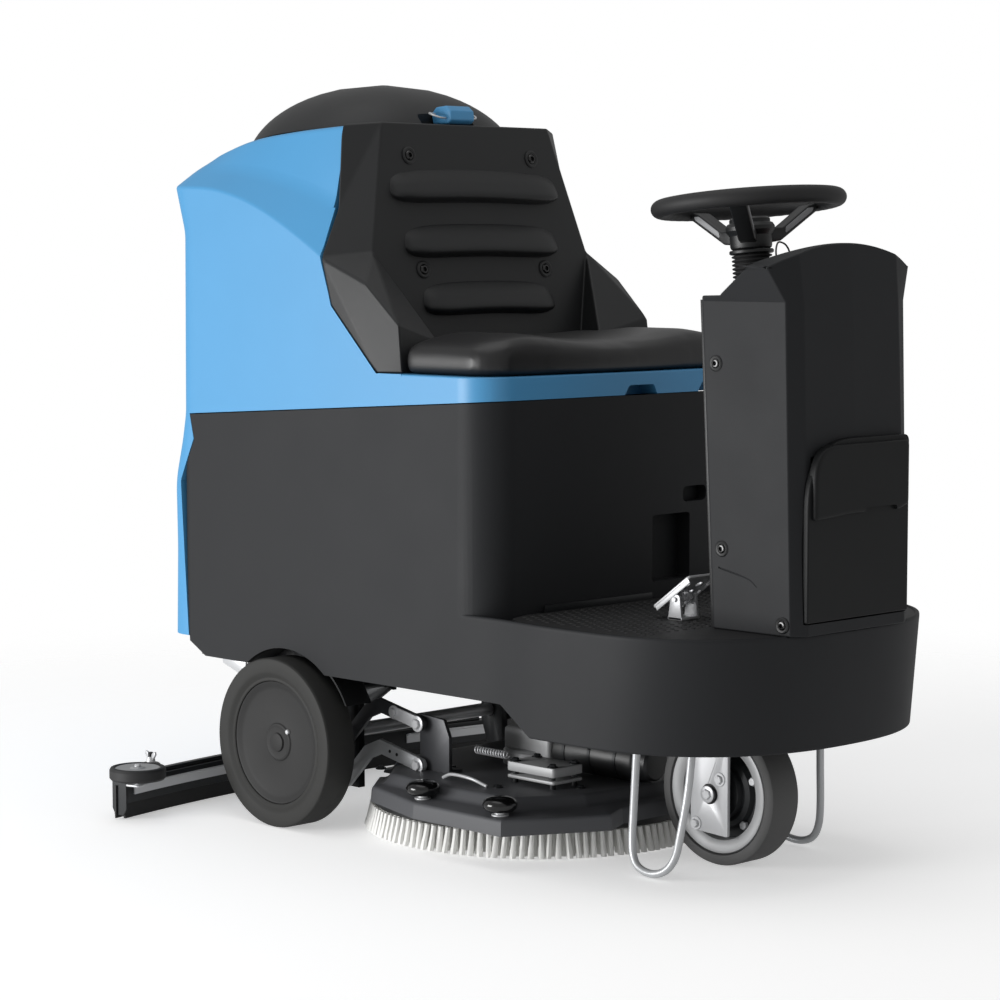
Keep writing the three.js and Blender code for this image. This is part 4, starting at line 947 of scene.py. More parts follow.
def both_faces(half):
    """A turned profile that is the same on both faces of a wheel."""
    return [(r, -h) for r, h in half] + [(r, h) for r, h in reversed(half)]


def drive_tyre():
    c = wheel_centre("drive_tyre")
    half = [(101.2, 29), (103, 33.4), (106, 34), (115, 33.6), (118.6, 31.4), (120, 28)]
    tyre = turned("drive_tyre_looks", both_faces(half), c, ACROSS, TYRE, 144)
    finished(smooth(tyre, 30), "drive_wheel", "drive_tyre")


def drive_hub():
    c = wheel_centre("drive_tyre")
    rim_half = [(100.8, 28), (99, 32), (95, 33), (82, 29.5), (78.5, 27), (77, 10)]
    rim = turned("rim", both_faces(rim_half), c, ACROSS, RIM_GREY, 144)
    core_half = [(77.4, 9), (70, 11), (63, 10.5), (58, 18), (50, 21), (44, 20), (41, 28), (30, 31),
        (12, 31), (12, 52), (0.01, 52)]
    core = turned("core", both_faces(core_half), c, ACROSS, STEEL_DARK, 96)
    parts = [smooth(rim, 30), smooth(core, 26)]
    for sign in (-1, 1):
        for k in range(5):
            a = math.radians(72 * k + 22)
            spot = Vector((c.x + 66 * math.cos(a), c.y + sign * 10.5, c.z + 66 * math.sin(a)))
            parts.append(smooth(turned("rim_bolt", [(0.01, -2), (7.5, -2), (7.5, 6), (6.2, 7.6),
                (0.01, 7.6)], spot, (0, sign, 0), ZINC, 6), 20))
    finished(merge("drive_hub_looks", parts), "drive_wheel", "drive_hub_motor")


drive_tyre()
drive_hub()


def hex_bolt(name, place, normal, width=8.0, height=6.0, washer=True, finish=ZINC):
    """A hexagonal bolt head with a chamfered top on a thin washer."""
    parts = [turned(name, [(0.01, -1), (width, -1), (width, height - 1.2), (width * 0.84, height),
        (0.01, height)], place, normal, finish, 6)]
    if washer:
        parts.append(turned(name + "_washer", [(0.01, -1), (width * 1.55, -1), (width * 1.55, 1.2),
            (width * 1.4, 1.8), (0.01, 1.8)], place, normal, finish, 28))
    for p in parts:
        smooth(p, 25)
    return parts


def drive_fork():
    c = wheel_centre("drive_tyre")
    cheek = rounded([(702, 57), (782, 53), (782, 226), (794, 240), (794, 262), (700, 262)],
        [4, 4, 5, 3, 1, 1])
    parts = []
    for y0, y1 in ((40, 47), (-47, -40)):
        plate = prism("cheek", cheek, "y", y0, y1, ZINC)
        cut(plate, turned("axle_hole", rect(0.01, 12.6, -80, 80), c, ACROSS, None, 40))
        parts.append(bevel(plate, 1.2, 2, 30))
    parts.append(bevel(block("crown", 700, 794, -47, 47, 253, 262, ZINC), 1.2, 2, 30))
    parts.append(turned("king_pin", [(0.01, 0), (24, 0), (24, 124), (21, 127), (0.01, 127)],
        (c.x, 0, 258), UP, ZINC, 48))
    for p in parts:
        paint(p, ZINC)
        smooth(p, 30)
    for sign in (-1, 1):
        face = sign * 47
        for x, z in ((765, 147), (714, 68)):
            parts += hex_bolt("fork_bolt", (x, face, z), (0, sign, 0), 7.5, 6)
        parts += hex_bolt("axle_nut", (c.x - 4, sign * 52, c.z), (0, sign, 0), 9, 5)
        ring = turned("dark_ring", rect(10, 17, -5, -3.4), (c.x - 4, sign * 51, c.z), (0, sign, 0),
            RUBBER, 32)
        parts.append(smooth(ring, 30))
    finished(merge("drive_fork_looks", parts), "fork", "drive_fork")


drive_fork()


def skid_loops():
    for side, sign in SIDES:
        route = [(690, 163, 300), (689, 163, 230), (687, 168, 120), (689, 174, 58), (697, 179, 28),
            (714, 183, 13), (745, 186, 9), (772, 184, 19), (788, 180, 42), (795, 176, 78),
            (802, 166, 150), (806, 160, 230), (808, 158, 300)]
        rod = tube("skid_loop_looks_" + side, [(x, sign * y, z) for x, y, z in route], 6.5, ROD, 20, 7)
        finished(smooth(rod, 60), "chassis", "skid_loop_" + side)


skid_loops()


# -------------------- brush deck
BRUSH_X = 302
PIVOT_X = 213
UPPER_PIVOT_Z = 191
LOWER_PIVOT_Z = 118


def ray_plan(plan, centre, angles):
    """Where rays from the centre meet a plan given as the half with y of 0 or more."""
    ring = [(x, y) for x, y in plan] + [(x, -y) for x, y in reversed(plan)]
    out = []
    for a in angles:
        dx, dy = math.cos(a), math.sin(a)
        best = None
        for i in range(len(ring)):
            (ax, ay), (bx, by) = ring[i], ring[(i + 1) % len(ring)]
            ax, ay, bx, by = ax - centre[0], ay - centre[1], bx - centre[0], by - centre[1]
            ex, ey = bx - ax, by - ay
            det = dx * ey - dy * ex
            if abs(det) < 1e-9:
                continue
            t = (ax * ey - ay * ex) / det
            s = (ax * dy - ay * dx) / det
            if t > 0 and -1e-6 <= s <= 1 + 1e-6 and (best is None or t > best):
                best = t
        out.append((centre[0] + dx * best, centre[1] + dy * best))
    return out


def deck_ear(sign):
    """The upright plate that carries the link pins on one side of the deck."""
    lo, hi = sorted((sign * 184, sign * 192))
    plate = prism("ear", rounded([(202, 101), (276, 101), (276, 172), (262, 202), (202, 206)],
        [0, 0, 6, 6, 6]), "y", lo, hi, STEEL_GREY)
    flange = block("ear_foot", 206, 276, *sorted((sign * 160, sign * 190)), 108, 114, STEEL_GREY)
    parts = [soft(p, 1.2, 2, 30) for p in (plate, flange)]
    for z in (UPPER_PIVOT_Z, LOWER_PIVOT_Z):
        parts.append(smooth(turned("pin", rect(0.01, 7, -16, 12), (PIVOT_X, sign * 197, z), (0, sign, 0),
            ZINC, 32), 30))
        parts += hex_bolt("pin_nut", (PIVOT_X, sign * 208, z), (0, sign, 0), 9, 7)
    return parts


def deck():
    centre = (320, 0)
    outer = [(62, 0.01), (62, 150), (176, 284), (335, 332), (545, 332), (636, 166), (611, 112), (611, 0.01)]
    upper = [(95, 0.01), (95, 140), (196, 252), (330, 270), (500, 262), (560, 150), (575, 0.01)]
    corners = [math.atan2(s * y - centre[1], x - centre[0]) for x, y in outer + upper
        for s in (1, -1) if y > 1]
    angles = sorted(set([round(2 * math.pi * k / 150 - math.pi, 5) for k in range(150)] + [round(a + d, 5)
        for a in corners for d in (-0.012, 0, 0.012)]))
    ring = lambda plan, scale, z: [(centre[0] + (x - centre[0]) * scale, y * scale, z)
        for x, y in ray_plan(plan, centre, angles)]
    rows = [ring(outer, 0.985, 60), ring(outer, 1.0, 60.6), ring(outer, 0.992, 87),
        ring(upper, 1.05, 90.5), ring(upper, 1.0, 109), ring(upper, 0.6, 110)]
    cover = loft("deck_cover_looks", filleted(rows, [0, 0, 6, 7, 6, 0], 4), DECK_GREY)
    cut(cover, turned("cavity", rect(0.01, 298, 50, 82), (BRUSH_X, 0, 0), UP, None, 96),
        turned("motor_hole", rect(0.01, 46, 50, 130), (BRUSH_X, 0, 0), UP, None, 48))
    for sign in (-1, 1):
        lo, hi = sorted((sign * 164, sign * 216))
        cut(cover, block("link_slot", 20, 150, lo, hi, 50, 130))
    paint(cover, DECK_GREY)
    parts = [smooth(cover, 24)]
    for sign in (-1, 1):
        parts += deck_ear(sign)
    for x, y in ((150, 236), (420, 215), (240, 150), (520, 120)):
        for sign in (-1, 1):
            parts += hex_bolt("cover_bolt", (x, sign * y, 109.5 if abs(y) < 220 else 108.5), UP, 6, 5,
                finish=STEEL_DARK)
    spring_bar = tube("guard_rod", [(300, -228, 112), (330, -236, 122), (380, -240, 122),
        (410, -232, 112)], 3, ZINC, 12)
    parts.append(smooth(spring_bar, 60))
    finished(merge("deck_cover_looks", parts), "deck", "deck_cover")


deck()


def deck_knobs():
    for side in ("left", "right"):
        for end in ("rear", "front"):
            node = "deck_knob_" + end + "_" + side
            low, high = mm_box(node)
            c = (low + high) / 2
            ball = [(0.01, 7), (16, 7), (23, 8.5), (27.5, 13), (29, 18.5), (27.5, 24), (22, 28.5),
                (14, 31), (0.01, 32)]
            knob = turned("knob", ball, (c.x, c.y, low.z), UP, GLOSS, 64)
            stem = turned("stem", [(0.01, 0.2), (14, 0.2), (14, 2.4), (9, 3), (9, 8), (0.01, 8)],
                (c.x, c.y, low.z), UP, ZINC, 40)
            finished(merge(node + "_looks", [smooth(knob, 60), smooth(stem, 30)]), "deck", node)


deck_knobs()


def strap(name, line, half, y0, y1, finish, width=1.2):
    """A flat bar bent along a line in the x-z plane, with round ends."""
    p = [np.array(v, float) for v in line]
    left, right = [], []
    for i, here in enumerate(p):
        a = p[i] - p[i - 1] if i else p[1] - p[0]
        b = p[i + 1] - p[i] if i < len(p) - 1 else a
        a, b = a / np.linalg.norm(a), b / np.linalg.norm(b)
        n = np.array([-(a[1] + b[1]), a[0] + b[0]])
        n /= np.linalg.norm(n)
        reach = half / max(0.5, float(n @ np.array([-a[1], a[0]])))
        left.append(here + n * reach)
        right.append(here - n * reach)
    def cap(centre, start):
        u = start - centre
        return [centre + np.array([u[0] * math.cos(t) - u[1] * math.sin(t),
            u[0] * math.sin(t) + u[1] * math.cos(t)]) for t in (-math.pi * k / 10 for k in range(1, 10))]
    outline = left + cap(p[-1], left[-1]) + right[::-1] + cap(p[0], right[0])
    o = prism(name, [tuple(v) for v in outline], "y", min(y0, y1), max(y0, y1), finish)
    return soft(o, width, shade=30)


def links():
    """The deck's upper and lower links, cranked at the rear."""
    for side, sign in SIDES:
        for level, z in (("upper", UPPER_PIVOT_Z), ("lower", LOWER_PIVOT_Z)):
            node = level + "_link_" + side
            line = [(22, z - 51), (78, z + 6), (112, z + 20), (PIVOT_X, z)]
            bar = strap("bar", line, 12.5, sign * 196, sign * 204, STEEL_GREY if level == "upper" else ROD)
            parts = [bar]
            if level == "upper":
                parts.append(strap("link_strap", [(148, z + 13), (PIVOT_X, z)], 11, sign * 204.2,
                    sign * 206.6, ZINC, 0.6))
                parts += hex_bolt("strap_bolt", (150, sign * 205, z + 12.5), (0, sign, 0), 8, 6)
            else:
                # The link's two holes are not cut: two thin black discs on the bar stand in for them as
                # painted shade.
                for x in (138, 156):
                    parts.append(smooth(turned("hole", rect(0.01, 3, -0.6, 0.4),
                        (x, sign * 204.2, z + 20 - (x - 112) * 0.198), (0, sign, 0), RUBBER, 20)))
            parts += hex_bolt("rear_bolt", (22, sign * 204, z - 51), (0, sign, 0), 8, 5)
            finished(merge(node + "_looks", parts), level + "_links", node)


links()


def brush_motor():
    z = 104.4
    parts = [turned("gearbox", [(0.01, z), (62, z), (62, z + 28), (57, z + 33), (46, z + 34),
        (0.01, z + 34)], (BRUSH_X, 0, 0), UP, RIM_GREY, 64)]
    parts.append(bevel(block("housing", 258, 372, -44, 44, z + 6, z + 70, RIM_GREY), 7, 3, 30))
    parts.append(turned("motor", [(0.01, 362), (33, 362), (37, 368), (37, 552), (34, 558), (31, 560),
        (30, 580), (26, 584), (0.01, 584)], (0, 0, z + 38), (1, 0, 0), TRIM, 64))
    parts.append(turned("stub", rect(0.01, 19.6, 67, z + 4), (BRUSH_X, 0, 0), UP, ZINC, 40))
    for k in range(3):
        parts.append(turned("motor_band", rect(36.6, 38.4, 0, 6), (395 + 60 * k, 0, z + 38), (1, 0, 0),
            STEEL_DARK, 64))
    for o in parts:
        smooth(o, 30)
    for low, high in ((118, 124), (130, 146)):
        plate = prism("clamp", rounded(rect(396, 508, -172, -100), 7), "z", low, high, RIM_GREY)
        parts.append(soft(plate, 1.6, 2, 30, shade=30))
    for x, y in ((408, -162), (496, -162), (408, -110), (496, -110)):
        parts += hex_bolt("clamp_bolt", (x, y, 146), UP, 6, 6, finish=STEEL_DARK)
        parts.append(smooth(turned("post", rect(0.01, 5, 109, 129), (x, y, 0), UP, STEEL_DARK, 20)))
    coil = [(300 + 76 * t, -150 + 6 * math.cos(t * 75), 150 + 6 * math.sin(t * 75))
        for t in np.linspace(0, 1, 160)]
    parts.append(smooth(tube("spring", coil, 1.3, ZINC, 8, 1, curved=False), 60))
    for sign in (-1, 1):
        parts.append(smooth(tube("motor_cable", [(575, sign * 14, z + 60), (600, sign * 22, z + 84),
            (575, sign * 40, z + 100), (520, sign * 52, z + 96), (480, sign * 60, z + 60)], 4.5, RUBBER,
            12), 60))
    finished(merge("brush_motor_looks", parts), "deck", "brush_motor")


brush_motor()


def brush_bristles():
    """Rings of tufts that lean outwards, each with its own small variation."""
    chance = random.Random(11)
    points, faces = [], []
    sides = 7
    for radius, count, lean, size in ((292, 124, 9, 5.0), (277, 112, 5, 5.2), (260, 98, 3, 5.4),
            (234, 82, 2, 5.6), (204, 70, 1, 5.6), (170, 58, 0, 5.6)):
        for k in range(count):
            a = 2 * math.pi * (k + (radius % 7) / 7) / count + chance.uniform(-0.002, 0.002)
            foot = radius + lean + chance.uniform(-1.2, 1.2)
            spread = size * chance.uniform(0.95, 1.12)
            twist = chance.uniform(-0.008, 0.008)
            base = len(points)
            for z, r, s, t in ((44, radius, size * 0.8, 0), (28, radius + lean * 0.35, size * 0.9,
                    twist * 0.5), (12, radius + lean * 0.75, spread, twist),
                    (2.2, foot, spread * 1.06, twist * 1.3)):
                cx, cy = BRUSH_X + r * math.cos(a + t), r * math.sin(a + t)
                for i in range(sides):
                    b = 2 * math.pi * i / sides
                    points.append((cx + s * math.cos(b), cy + s * math.sin(b), z))
            faces += grid_faces(4, sides, base)
            faces.append(tuple(base + i for i in range(sides))[::-1])
            faces.append(tuple(base + 3 * sides + i for i in range(sides)))
    mesh = bpy.data.meshes.new("brush_bristles_looks")
    mesh.from_pydata([at(*p) for p in points], [], faces)
    tufts = new_object("brush_bristles_looks", mesh, BRISTLE)
    bm = bmesh.new()
    bm.from_mesh(mesh)
    bmesh.ops.recalc_face_normals(bm, faces=bm.faces)
    bm.to_mesh(mesh)
    bm.free()
    finished(smooth(tufts, 50), "brush", "brush_bristles")


def brush_disc():
    disc = turned("brush_disc_looks", [(20.8, 46), (30, 44), (288, 44), (292, 47), (292, 58), (288, 62),
        (44, 62), (40, 66), (40, 78), (37, 80), (20.8, 80)], (BRUSH_X, 0, 0), UP, TRIM, 128)
    finished(smooth(disc, 30), "brush", "brush_disc")


brush_bristles()
brush_disc()


# -------------------- squeegee
BLADE_X = -300
BLADE_CURVE = 2.28e-4
ROLLER_X = -212
ROLLER_Y = 489
RAIL_TOP = 70


def blade_x(y):
    return BLADE_X + BLADE_CURVE * y * y


def swept_strip(name, section, half, finish, steps=56, low=None):
    """A closed section [offset ahead of the curve, height] carried along the squeegee's curve."""
    rows = []
    low = -half if low is None else low
    for i in range(steps + 1):
        y = low + (half - low) * i / steps
        slope = 2 * BLADE_CURVE * y
        n = Vector((1, -slope, 0)).normalized()
        rows.append([(blade_x(y) + n.x * d, y + n.y * d, z) for d, z in section])
    return loft(name, rows, finish)


def squeegee_frame():
    top = RAIL_TOP
    section = rounded([(16, top), (-16, top), (-16, 30), (-9, 28), (-9, top - 8), (9, top - 8), (9, 28),
        (16, 30)], [3, 3, 1, 1, 1, 1, 1, 1], 3)
    channel = swept_strip("channel", section, 506, STEEL_DARK)
    parts = [smooth(channel, 40)]
    for sign in (-1, 1):
        outline = rounded([(-262, 470), (-285, 430), (-268, 398), (-240, 424), (-205, 470), (-196, 500),
            (-222, 508)], 6)
        plate = prism("roller_plate", [(x, sign * y) for x, y in outline], "z", top - 8, top - 4.6, ZINC)
        parts.append(soft(plate, 0.8))
        rail = swept_strip("rail", rounded([(9, top + 0.2), (-9, top + 0.2), (-6, top + 7), (6, top + 7)],
            2.5), 506, STEEL_DARK)
        parts.append(smooth(keep(rail, block("half", -420, 0, *sorted((sign * 60, sign * 396)), 60, 100)),
            40))
        near, far = sorted((sign * 214, sign * 488))
        parts.append(smooth(swept_strip("clamp_strip", [(16.2, 44), (16.2, 61), (30, 65), (31, 62.6),
            (19, 58), (19, 44)], far, ZINC, 24, near), 40))
        near, far = sorted((sign * 505.5, sign * 508.5))
        parts.append(swept_strip("end_cap", [(15.6, 69), (-15.6, 69), (-15.6, 20), (-9, 8), (9, 8),
            (15.6, 20)], far, STEEL_DARK, 1, near))
        pin = turned("roller_pin", [(0.01, top - 7), (6, top - 7), (6, 99), (4.5, 101), (0.01, 101)],
            (ROLLER_X, sign * ROLLER_Y, 0), UP, ZINC, 32)
        parts.append(smooth(pin, 30))
    bridge = bevel(block("bridge", -330, -236, -34, 34, top - 4, top + 8, ZINC), 2, 3, 30)
    parts.append(smooth(bridge))
    parts.append(smooth(turned("swing_pin", [(0.01, top), (10, top), (10, 116), (8, 118), (0.01, 118)],
        (-258, 0, 0), UP, ZINC, 32), 30))
    parts.append(smooth(turned("nozzle", [(18, top - 8), (24, top - 8), (24, 121), (22, 124), (18, 124)],
        (-300, 0, 0), UP, TRIM, 48), 30))
    finished(merge("squeegee_frame_looks", parts), "squeegee", "squeegee_frame")


def squeegee_blades():
    for name, near, far, half in (("front", 8.2, 4.6, 504), ("rear", -4.6, -8.2, 512)):
        node = "squeegee_blade_" + name
        section = [(near, 61), (far, 61), (far, 12), (far + (1 if near > far else -1), 2.2),
            (near + (1.6 if near > 0 else -0.8), 2.2), (near, 14)]
        blade = swept_strip(node + "_looks", section, half, RUBBER)
        finished(smooth(blade, 40), "squeegee", node)


def bumper_roller(side, sign):
    c = (ROLLER_X, sign * ROLLER_Y, 0)
    ring = turned("roller_tyre", [(40, 75), (47, 74.4), (50, 78), (50, 92), (47.5, 96), (43, 97),
        (40, 95)], c, UP, RUBBER, 96)
    disc = turned("roller_disc", [(6.6, 75), (41, 75), (41, 94), (38, 95.4), (14, 94.2), (11, 96.4),
        (6.6, 96.4)], c, UP, RIM_GREY, 96)
    finished(merge("bumper_roller_looks_" + side, [smooth(ring, 30), smooth(disc, 26)]), "roller_" + side,
        "bumper_roller_" + side)


def wing_knob(side):
    low, high = mm_box("wing_knob_" + side)
    k = (low + high) / 2
    base = low.z
    post = turned("stud", [(0.01, 0.2), (5, 0.2), (5, 36), (3.6, 38), (0.01, 38)], (k.x, k.y, base), UP,
        STEEL_DARK, 24)
    plate = turned("knob_disc", [(5, 12), (15, 12), (17, 14), (17, 17), (14, 19), (5, 19)],
        (k.x, k.y, base), UP, TRIM, 48)
    wings = []
    for w in (-1, 1):
        blade = prism("wing", rounded([(k.x, base + 22), (k.x + w * 6, base + 22),
            (k.x + w * 15, base + 34), (k.x + w * 14, base + 40), (k.x + w * 8, base + 38),
            (k.x, base + 30)], 2), "y", k.y - 2, k.y + 2, ZINC)
        wings.append(soft(blade, 0.8, 2, 30))
    nut = turned("wing_body", [(4.8, 19.4), (8.5, 19.4), (7, 29), (4.8, 30)], (k.x, k.y, base), UP, ZINC, 32)
    finished(merge("wing_knob_looks_" + side, [smooth(post, 30), smooth(plate, 30), smooth(nut, 30)]
        + wings), "squeegee", "wing_knob_" + side)


squeegee_frame()
squeegee_blades()
for side, sign in SIDES:
    bumper_roller(side, sign)
    wing_knob(side)


def suction_hose():
    line = [(-300, 0, 127), (-300, 0, 136), (-304, 0, 165), (-314, 0, 215), (-312, 0, 262), (-310, 0, 291)]
    ribs = 30
    radius = lambda t: 19.6 + 2.2 * (0.5 - 0.5 * math.cos(2 * math.pi * ribs * t))
    hose = tube("suction_hose_looks", line, radius, RUBBER, 40, 48)
    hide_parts("suction_hose")
    smooth(hose, 70)
    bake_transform(hose)


suction_hose()


# -------------------- steering
TILT = math.radians(5.5)
STEER_AXIS = Vector((-math.sin(TILT), 0, math.cos(TILT)))
STEER_SIDE = Vector((math.cos(TILT), 0, math.sin(TILT)))
STEER_BASE = Vector((787, 0, 975))
WHEEL_RADIUS = 142.5


def upright(u, v, h):
    """A point given across and along the steering axis."""
    return STEER_BASE + STEER_SIDE * u + Vector(ACROSS) * v + STEER_AXIS * h


def steering_rim():
    """The wheel's rim with finger grips along its underside."""
    rings, sides = 160, 24
    points = []
    for i in range(rings):
        a = 2 * math.pi * i / rings
        grip = 0.5 + 0.5 * math.cos(48 * a)
        for k in range(sides):
            b = 2 * math.pi * k / sides
            below = max(0.0, -math.sin(b)) * max(0.0, 0.3 - math.cos(b) * 0.4)
            r = 15.4 - 1.5 * grip * below
            reach = WHEEL_RADIUS + r * math.cos(b)
            points.append(tuple(upright(reach * math.cos(a), reach * math.sin(a),
                108 + r * 0.94 * math.sin(b))))
    return smooth(build("rim", points, grid_faces(rings, sides, endless=True), RUBBER), 60)


def steering_wheel():
    parts = [steering_rim()]
    hub = turned("hub", [(10.6, 34), (30, 34), (33, 36), (34, 40), (34, 56), (37, 60), (40, 64), (40, 70),
        (37, 75), (33, 77), (33, 82), (30, 85), (0.01, 86), (0.01, 66), (10.6, 66)], STEER_BASE,
        STEER_AXIS, TRIM, 72)
    parts.append(smooth(hub, 28))
    for degrees in (78, 171, 303):
        a = math.radians(degrees)
        ca, sa = math.cos(a), math.sin(a)
        side = rounded([(20, 42), (52, 46), (136, 97), (137, 108), (112, 103), (56, 68), (20, 68)],
            [0, 6, 5, 4, 6, 8, 0], 4)
        rows = [[tuple(upright(r * ca - w * sa, r * sa + w * ca, h)) for r, h in side] for w in (-14, 14)]
        arm = bevel(loft("spoke", rows, TRIM), 3.2, 3, 40)
        parts.append(smooth(arm, 34))
        for face in (1, -1):
            inset = rounded([(60, 57), (118, 92), (123, 99), (110, 98), (62, 68)], [6, 5, 4, 6, 6], 4)
            rows = [[tuple(upright(r * ca - w * sa * face, r * sa + w * ca * face, h)) for r, h in inset]
                for w in (13.2, 14.5)]
            parts.append(soft(loft("spoke_inset", rows, INSET), 0.5))
    finished(merge("steering_wheel_looks", parts), "steering", "steering_wheel")


def steering_boot():
    ribs = []
    for i in range(8):
        z = -25 + 51 * i / 8
        ribs += [(27.5, z), (32.4, z + 2), (33, z + 3.2), (32.4, z + 4.4), (27.5, z + 6.2)]
    boot = turned("steering_boot_looks", [(14.2, -25)] + ribs + [(14.2, 25.8)], STEER_BASE, STEER_AXIS,
        RUBBER, 72)
    finished(smooth(boot, 50), "chassis", "steering_boot")


def steering_collar():
    collar = turned("steering_collar_looks", [(14.2, 26.7), (34, 26.7), (36, 28), (36, 31.6), (34.6, 33),
        (14.2, 33)], STEER_BASE, STEER_AXIS, TRIM, 64)
    finished(smooth(collar, 30), "chassis", "steering_collar")


steering_wheel()
steering_boot()
steering_collar()


# -------------------- footwell and pedal
def dimples():
    """Rows of small anti-slip studs, left out around the pedal and the column."""
    points, faces = [], []
    for i in range(17):
        for j in range(-15, 16):
            x = 534 + 17.5 * i
            y = 19 * j + (9.5 if i % 2 else 0)
            near_edge = abs(y) > 292 - max(0, 548 - x)
            if near_edge or x > 826 or (700 < x < 760 and -128 < y < -60) or (x > 740 and abs(y) < 50):
                continue
            base = len(points)
            for r, z in ((4.6, FLOOR_Z - 0.1), (3.9, FLOOR_Z + 1.0), (2.2, FLOOR_Z + 1.7)):
                points += [(x + r * math.cos(math.pi * k / 5), y + r * math.sin(math.pi * k / 5), z)
                    for k in range(10)]
            faces += grid_faces(3, 10, base)
            faces.append(tuple(base + 20 + k for k in range(10)))
            faces.append(tuple(base + k for k in range(10))[::-1])
    return smooth(build("dimples", points, faces, RUBBER), 60)


def footplate():
    plan = [(x, y) for x, y in nose_plan(6.4, 1) if x > 556]
    back = SEAT_FRONT + 3 + 6.4
    outline = [(back, -238), (back + 16, -288)] + plan + [(back + 16, 288), (back, 238)]
    sheet = prism("sheet", outline, "z", 405.4, FLOOR_Z, RUBBER)
    cut(sheet, turned("shaft_way", rect(0.01, 28, 300, 500), (844, 0, 0), UP, None, 40))
    paint(sheet, RUBBER)
    parts = [smooth(sheet, 30), soft(block("kick", 513, 517, -200, 60, 408, 424, STEEL_DARK), 1, 2, 30)]
    parts.append(dimples())
    finished(merge("footplate_looks", parts), "chassis", "footplate")


footplate()


PEDAL_PITCH = math.radians(36)
PEDAL_Y = -86
PEDAL_PIN = (729, PEDAL_Y, 446)


def on_pedal(u, v, w):
    """A point given along, across and above the pedal's plate."""
    along_x, along_z = math.cos(PEDAL_PITCH), math.sin(PEDAL_PITCH)
    x, y, z = PEDAL_PIN
    return (x + u * along_x - w * along_z, y + v, z + u * along_z + w * along_x)


def slab(name, outline, low, high, finish):
    return loft(name, [[on_pedal(u, v, w) for u, v in outline] for w in (low, high)], finish)


def accelerator_pedal():
    plate = slab("plate", rounded(rect(-49, 47, -33, 31), 7), 12, 16.5, ZINC)
    for u in (-28, -4, 20):
        for v in (-15, 15):
            hole = slab("hole", [(u + 6.5 * math.cos(t), v + 6.5 * math.sin(t))
                for t in (2 * math.pi * k / 24 for k in range(24))], 8, 20, None)
            cut(plate, hole)
    paint(plate, ZINC)
    parts = [soft(plate, 0.9, shade=30)]
    for v in (-33, 28.5):
        flange = slab("flange", rounded(rect(-44, 44, v, v + 2.5), 1), 5, 14, ZINC)
        parts.append(soft(flange, 0.6))
    for v in (-20, -5):
        lug = slab("lug", rounded(rect(-9, 9, v, v + 5), 1), -7, 13, ZINC)
        parts.append(soft(lug, 0.6))
    finished(merge("accelerator_pedal_looks", parts), "pedal", "accelerator_pedal")


def pedal_bracket():
    parts = []
    for v0, v1 in ((-32, -27), (7, 12)):
        cheek = prism("cheek", rounded([(713, 412.4), (743, 412.4), (738, 454), (720, 454)],
            [0, 0, 7, 7]), "y", PEDAL_Y + v0, PEDAL_Y + v1, ZINC)
        parts.append(soft(cheek, 0.8))
    parts.append(soft(block("foot", 713, 743, -118, -74, 412.4, 417, ZINC), 0.8))
    parts.append(smooth(turned("pin", rect(0.01, 4, -36, 16), PEDAL_PIN, ACROSS, ZINC, 24), 30))
    finished(merge("pedal_bracket_looks", parts), "chassis", "pedal_bracket")


accelerator_pedal()
pedal_bracket()


# -------------------- dashboard and its controls
SLOPE = math.atan2(1005 - 936, 948 - 846)


def on_dash(u, v, w):
    """A point given up the slope, across and above the dashboard."""
    return (846 + u * math.cos(SLOPE) - w * math.sin(SLOPE), v,
        929 + u * math.sin(SLOPE) + w * math.cos(SLOPE))


DASH_UP = Vector(on_dash(0, 0, 1)) - Vector(on_dash(0, 0, 0))


def dash_slab(name, outline, low, high, finish, width=0.8):
    o = loft(name, [[on_dash(u, v, w) for u, v in outline] for w in (low, high)], finish)
    return soft(o, width)


def dashboard():
    panel = dash_slab("panel", rounded(rect(8, 120, -111, 111), 6), 0.4, 6, TRIM)
    frame_ring = dash_slab("bezel", rounded(rect(20, 84, -40, 40), 6), 5, 8, GLOSS)
    for v, r in ((-76, 11), (76, 15)):
        hole = turned("hole", rect(0.01, r, -9, 20), on_dash(44, v, 0), DASH_UP, None, 40)
        cut(panel, hole)
    paint(panel, TRIM)
    parts = [smooth(panel), frame_ring]
    for v in (-100, 100):
        parts.append(smooth(turned("dash_screw", [(0.01, 4), (5, 4), (5, 7), (0.01, 7.6)],
            on_dash(100, v, 0), DASH_UP, STEEL_DARK, 20)))
    finished(merge("dashboard_looks", parts), "chassis", "dashboard")


def display_screen():
    screen = dash_slab("display_screen_looks", rounded(rect(24, 80, -34, 34), 3), 8.4, 10, GLASS, 0.5)
    finished(screen, "chassis", "display_screen")


def key_switch():
    barrel = turned("barrel", [(0.01, 0.4), (10, 0.4), (10, 9.6), (8.6, 11), (0.01, 11)],
        on_dash(44, -76, 0), DASH_UP, ZINC, 40)
    bow = dash_slab("bow", rect(33, 55, -78, -76), 10, 24, ZINC, 0.5)
    finished(merge("key_switch_looks", [smooth(barrel, 30), bow]), "key", "key_switch")


def emergency_stop():
    stop = turned("emergency_stop_looks", [(0.01, 5), (14, 5), (14, 13), (18.5, 13), (20, 15), (20, 19),
        (17.5, 22.4), (12, 24), (0.01, 24.4)], on_dash(44, 76, 0), DASH_UP, RED, 64)
    finished(smooth(stop, 40), "stop_button", "emergency_stop")


def wire_arc():
    arc = tube("wire_arc_looks", [(862, -30, 990), (852, -20, 1008), (845, -6, 1020), (845, 10.4, 1017),
        (845, 21, 1006), (846, 20.6, 992)], 1.5, GLOSS, 10)
    finished(smooth(arc, 60), "chassis")


dashboard()
display_screen()
key_switch()
emergency_stop()
wire_arc()


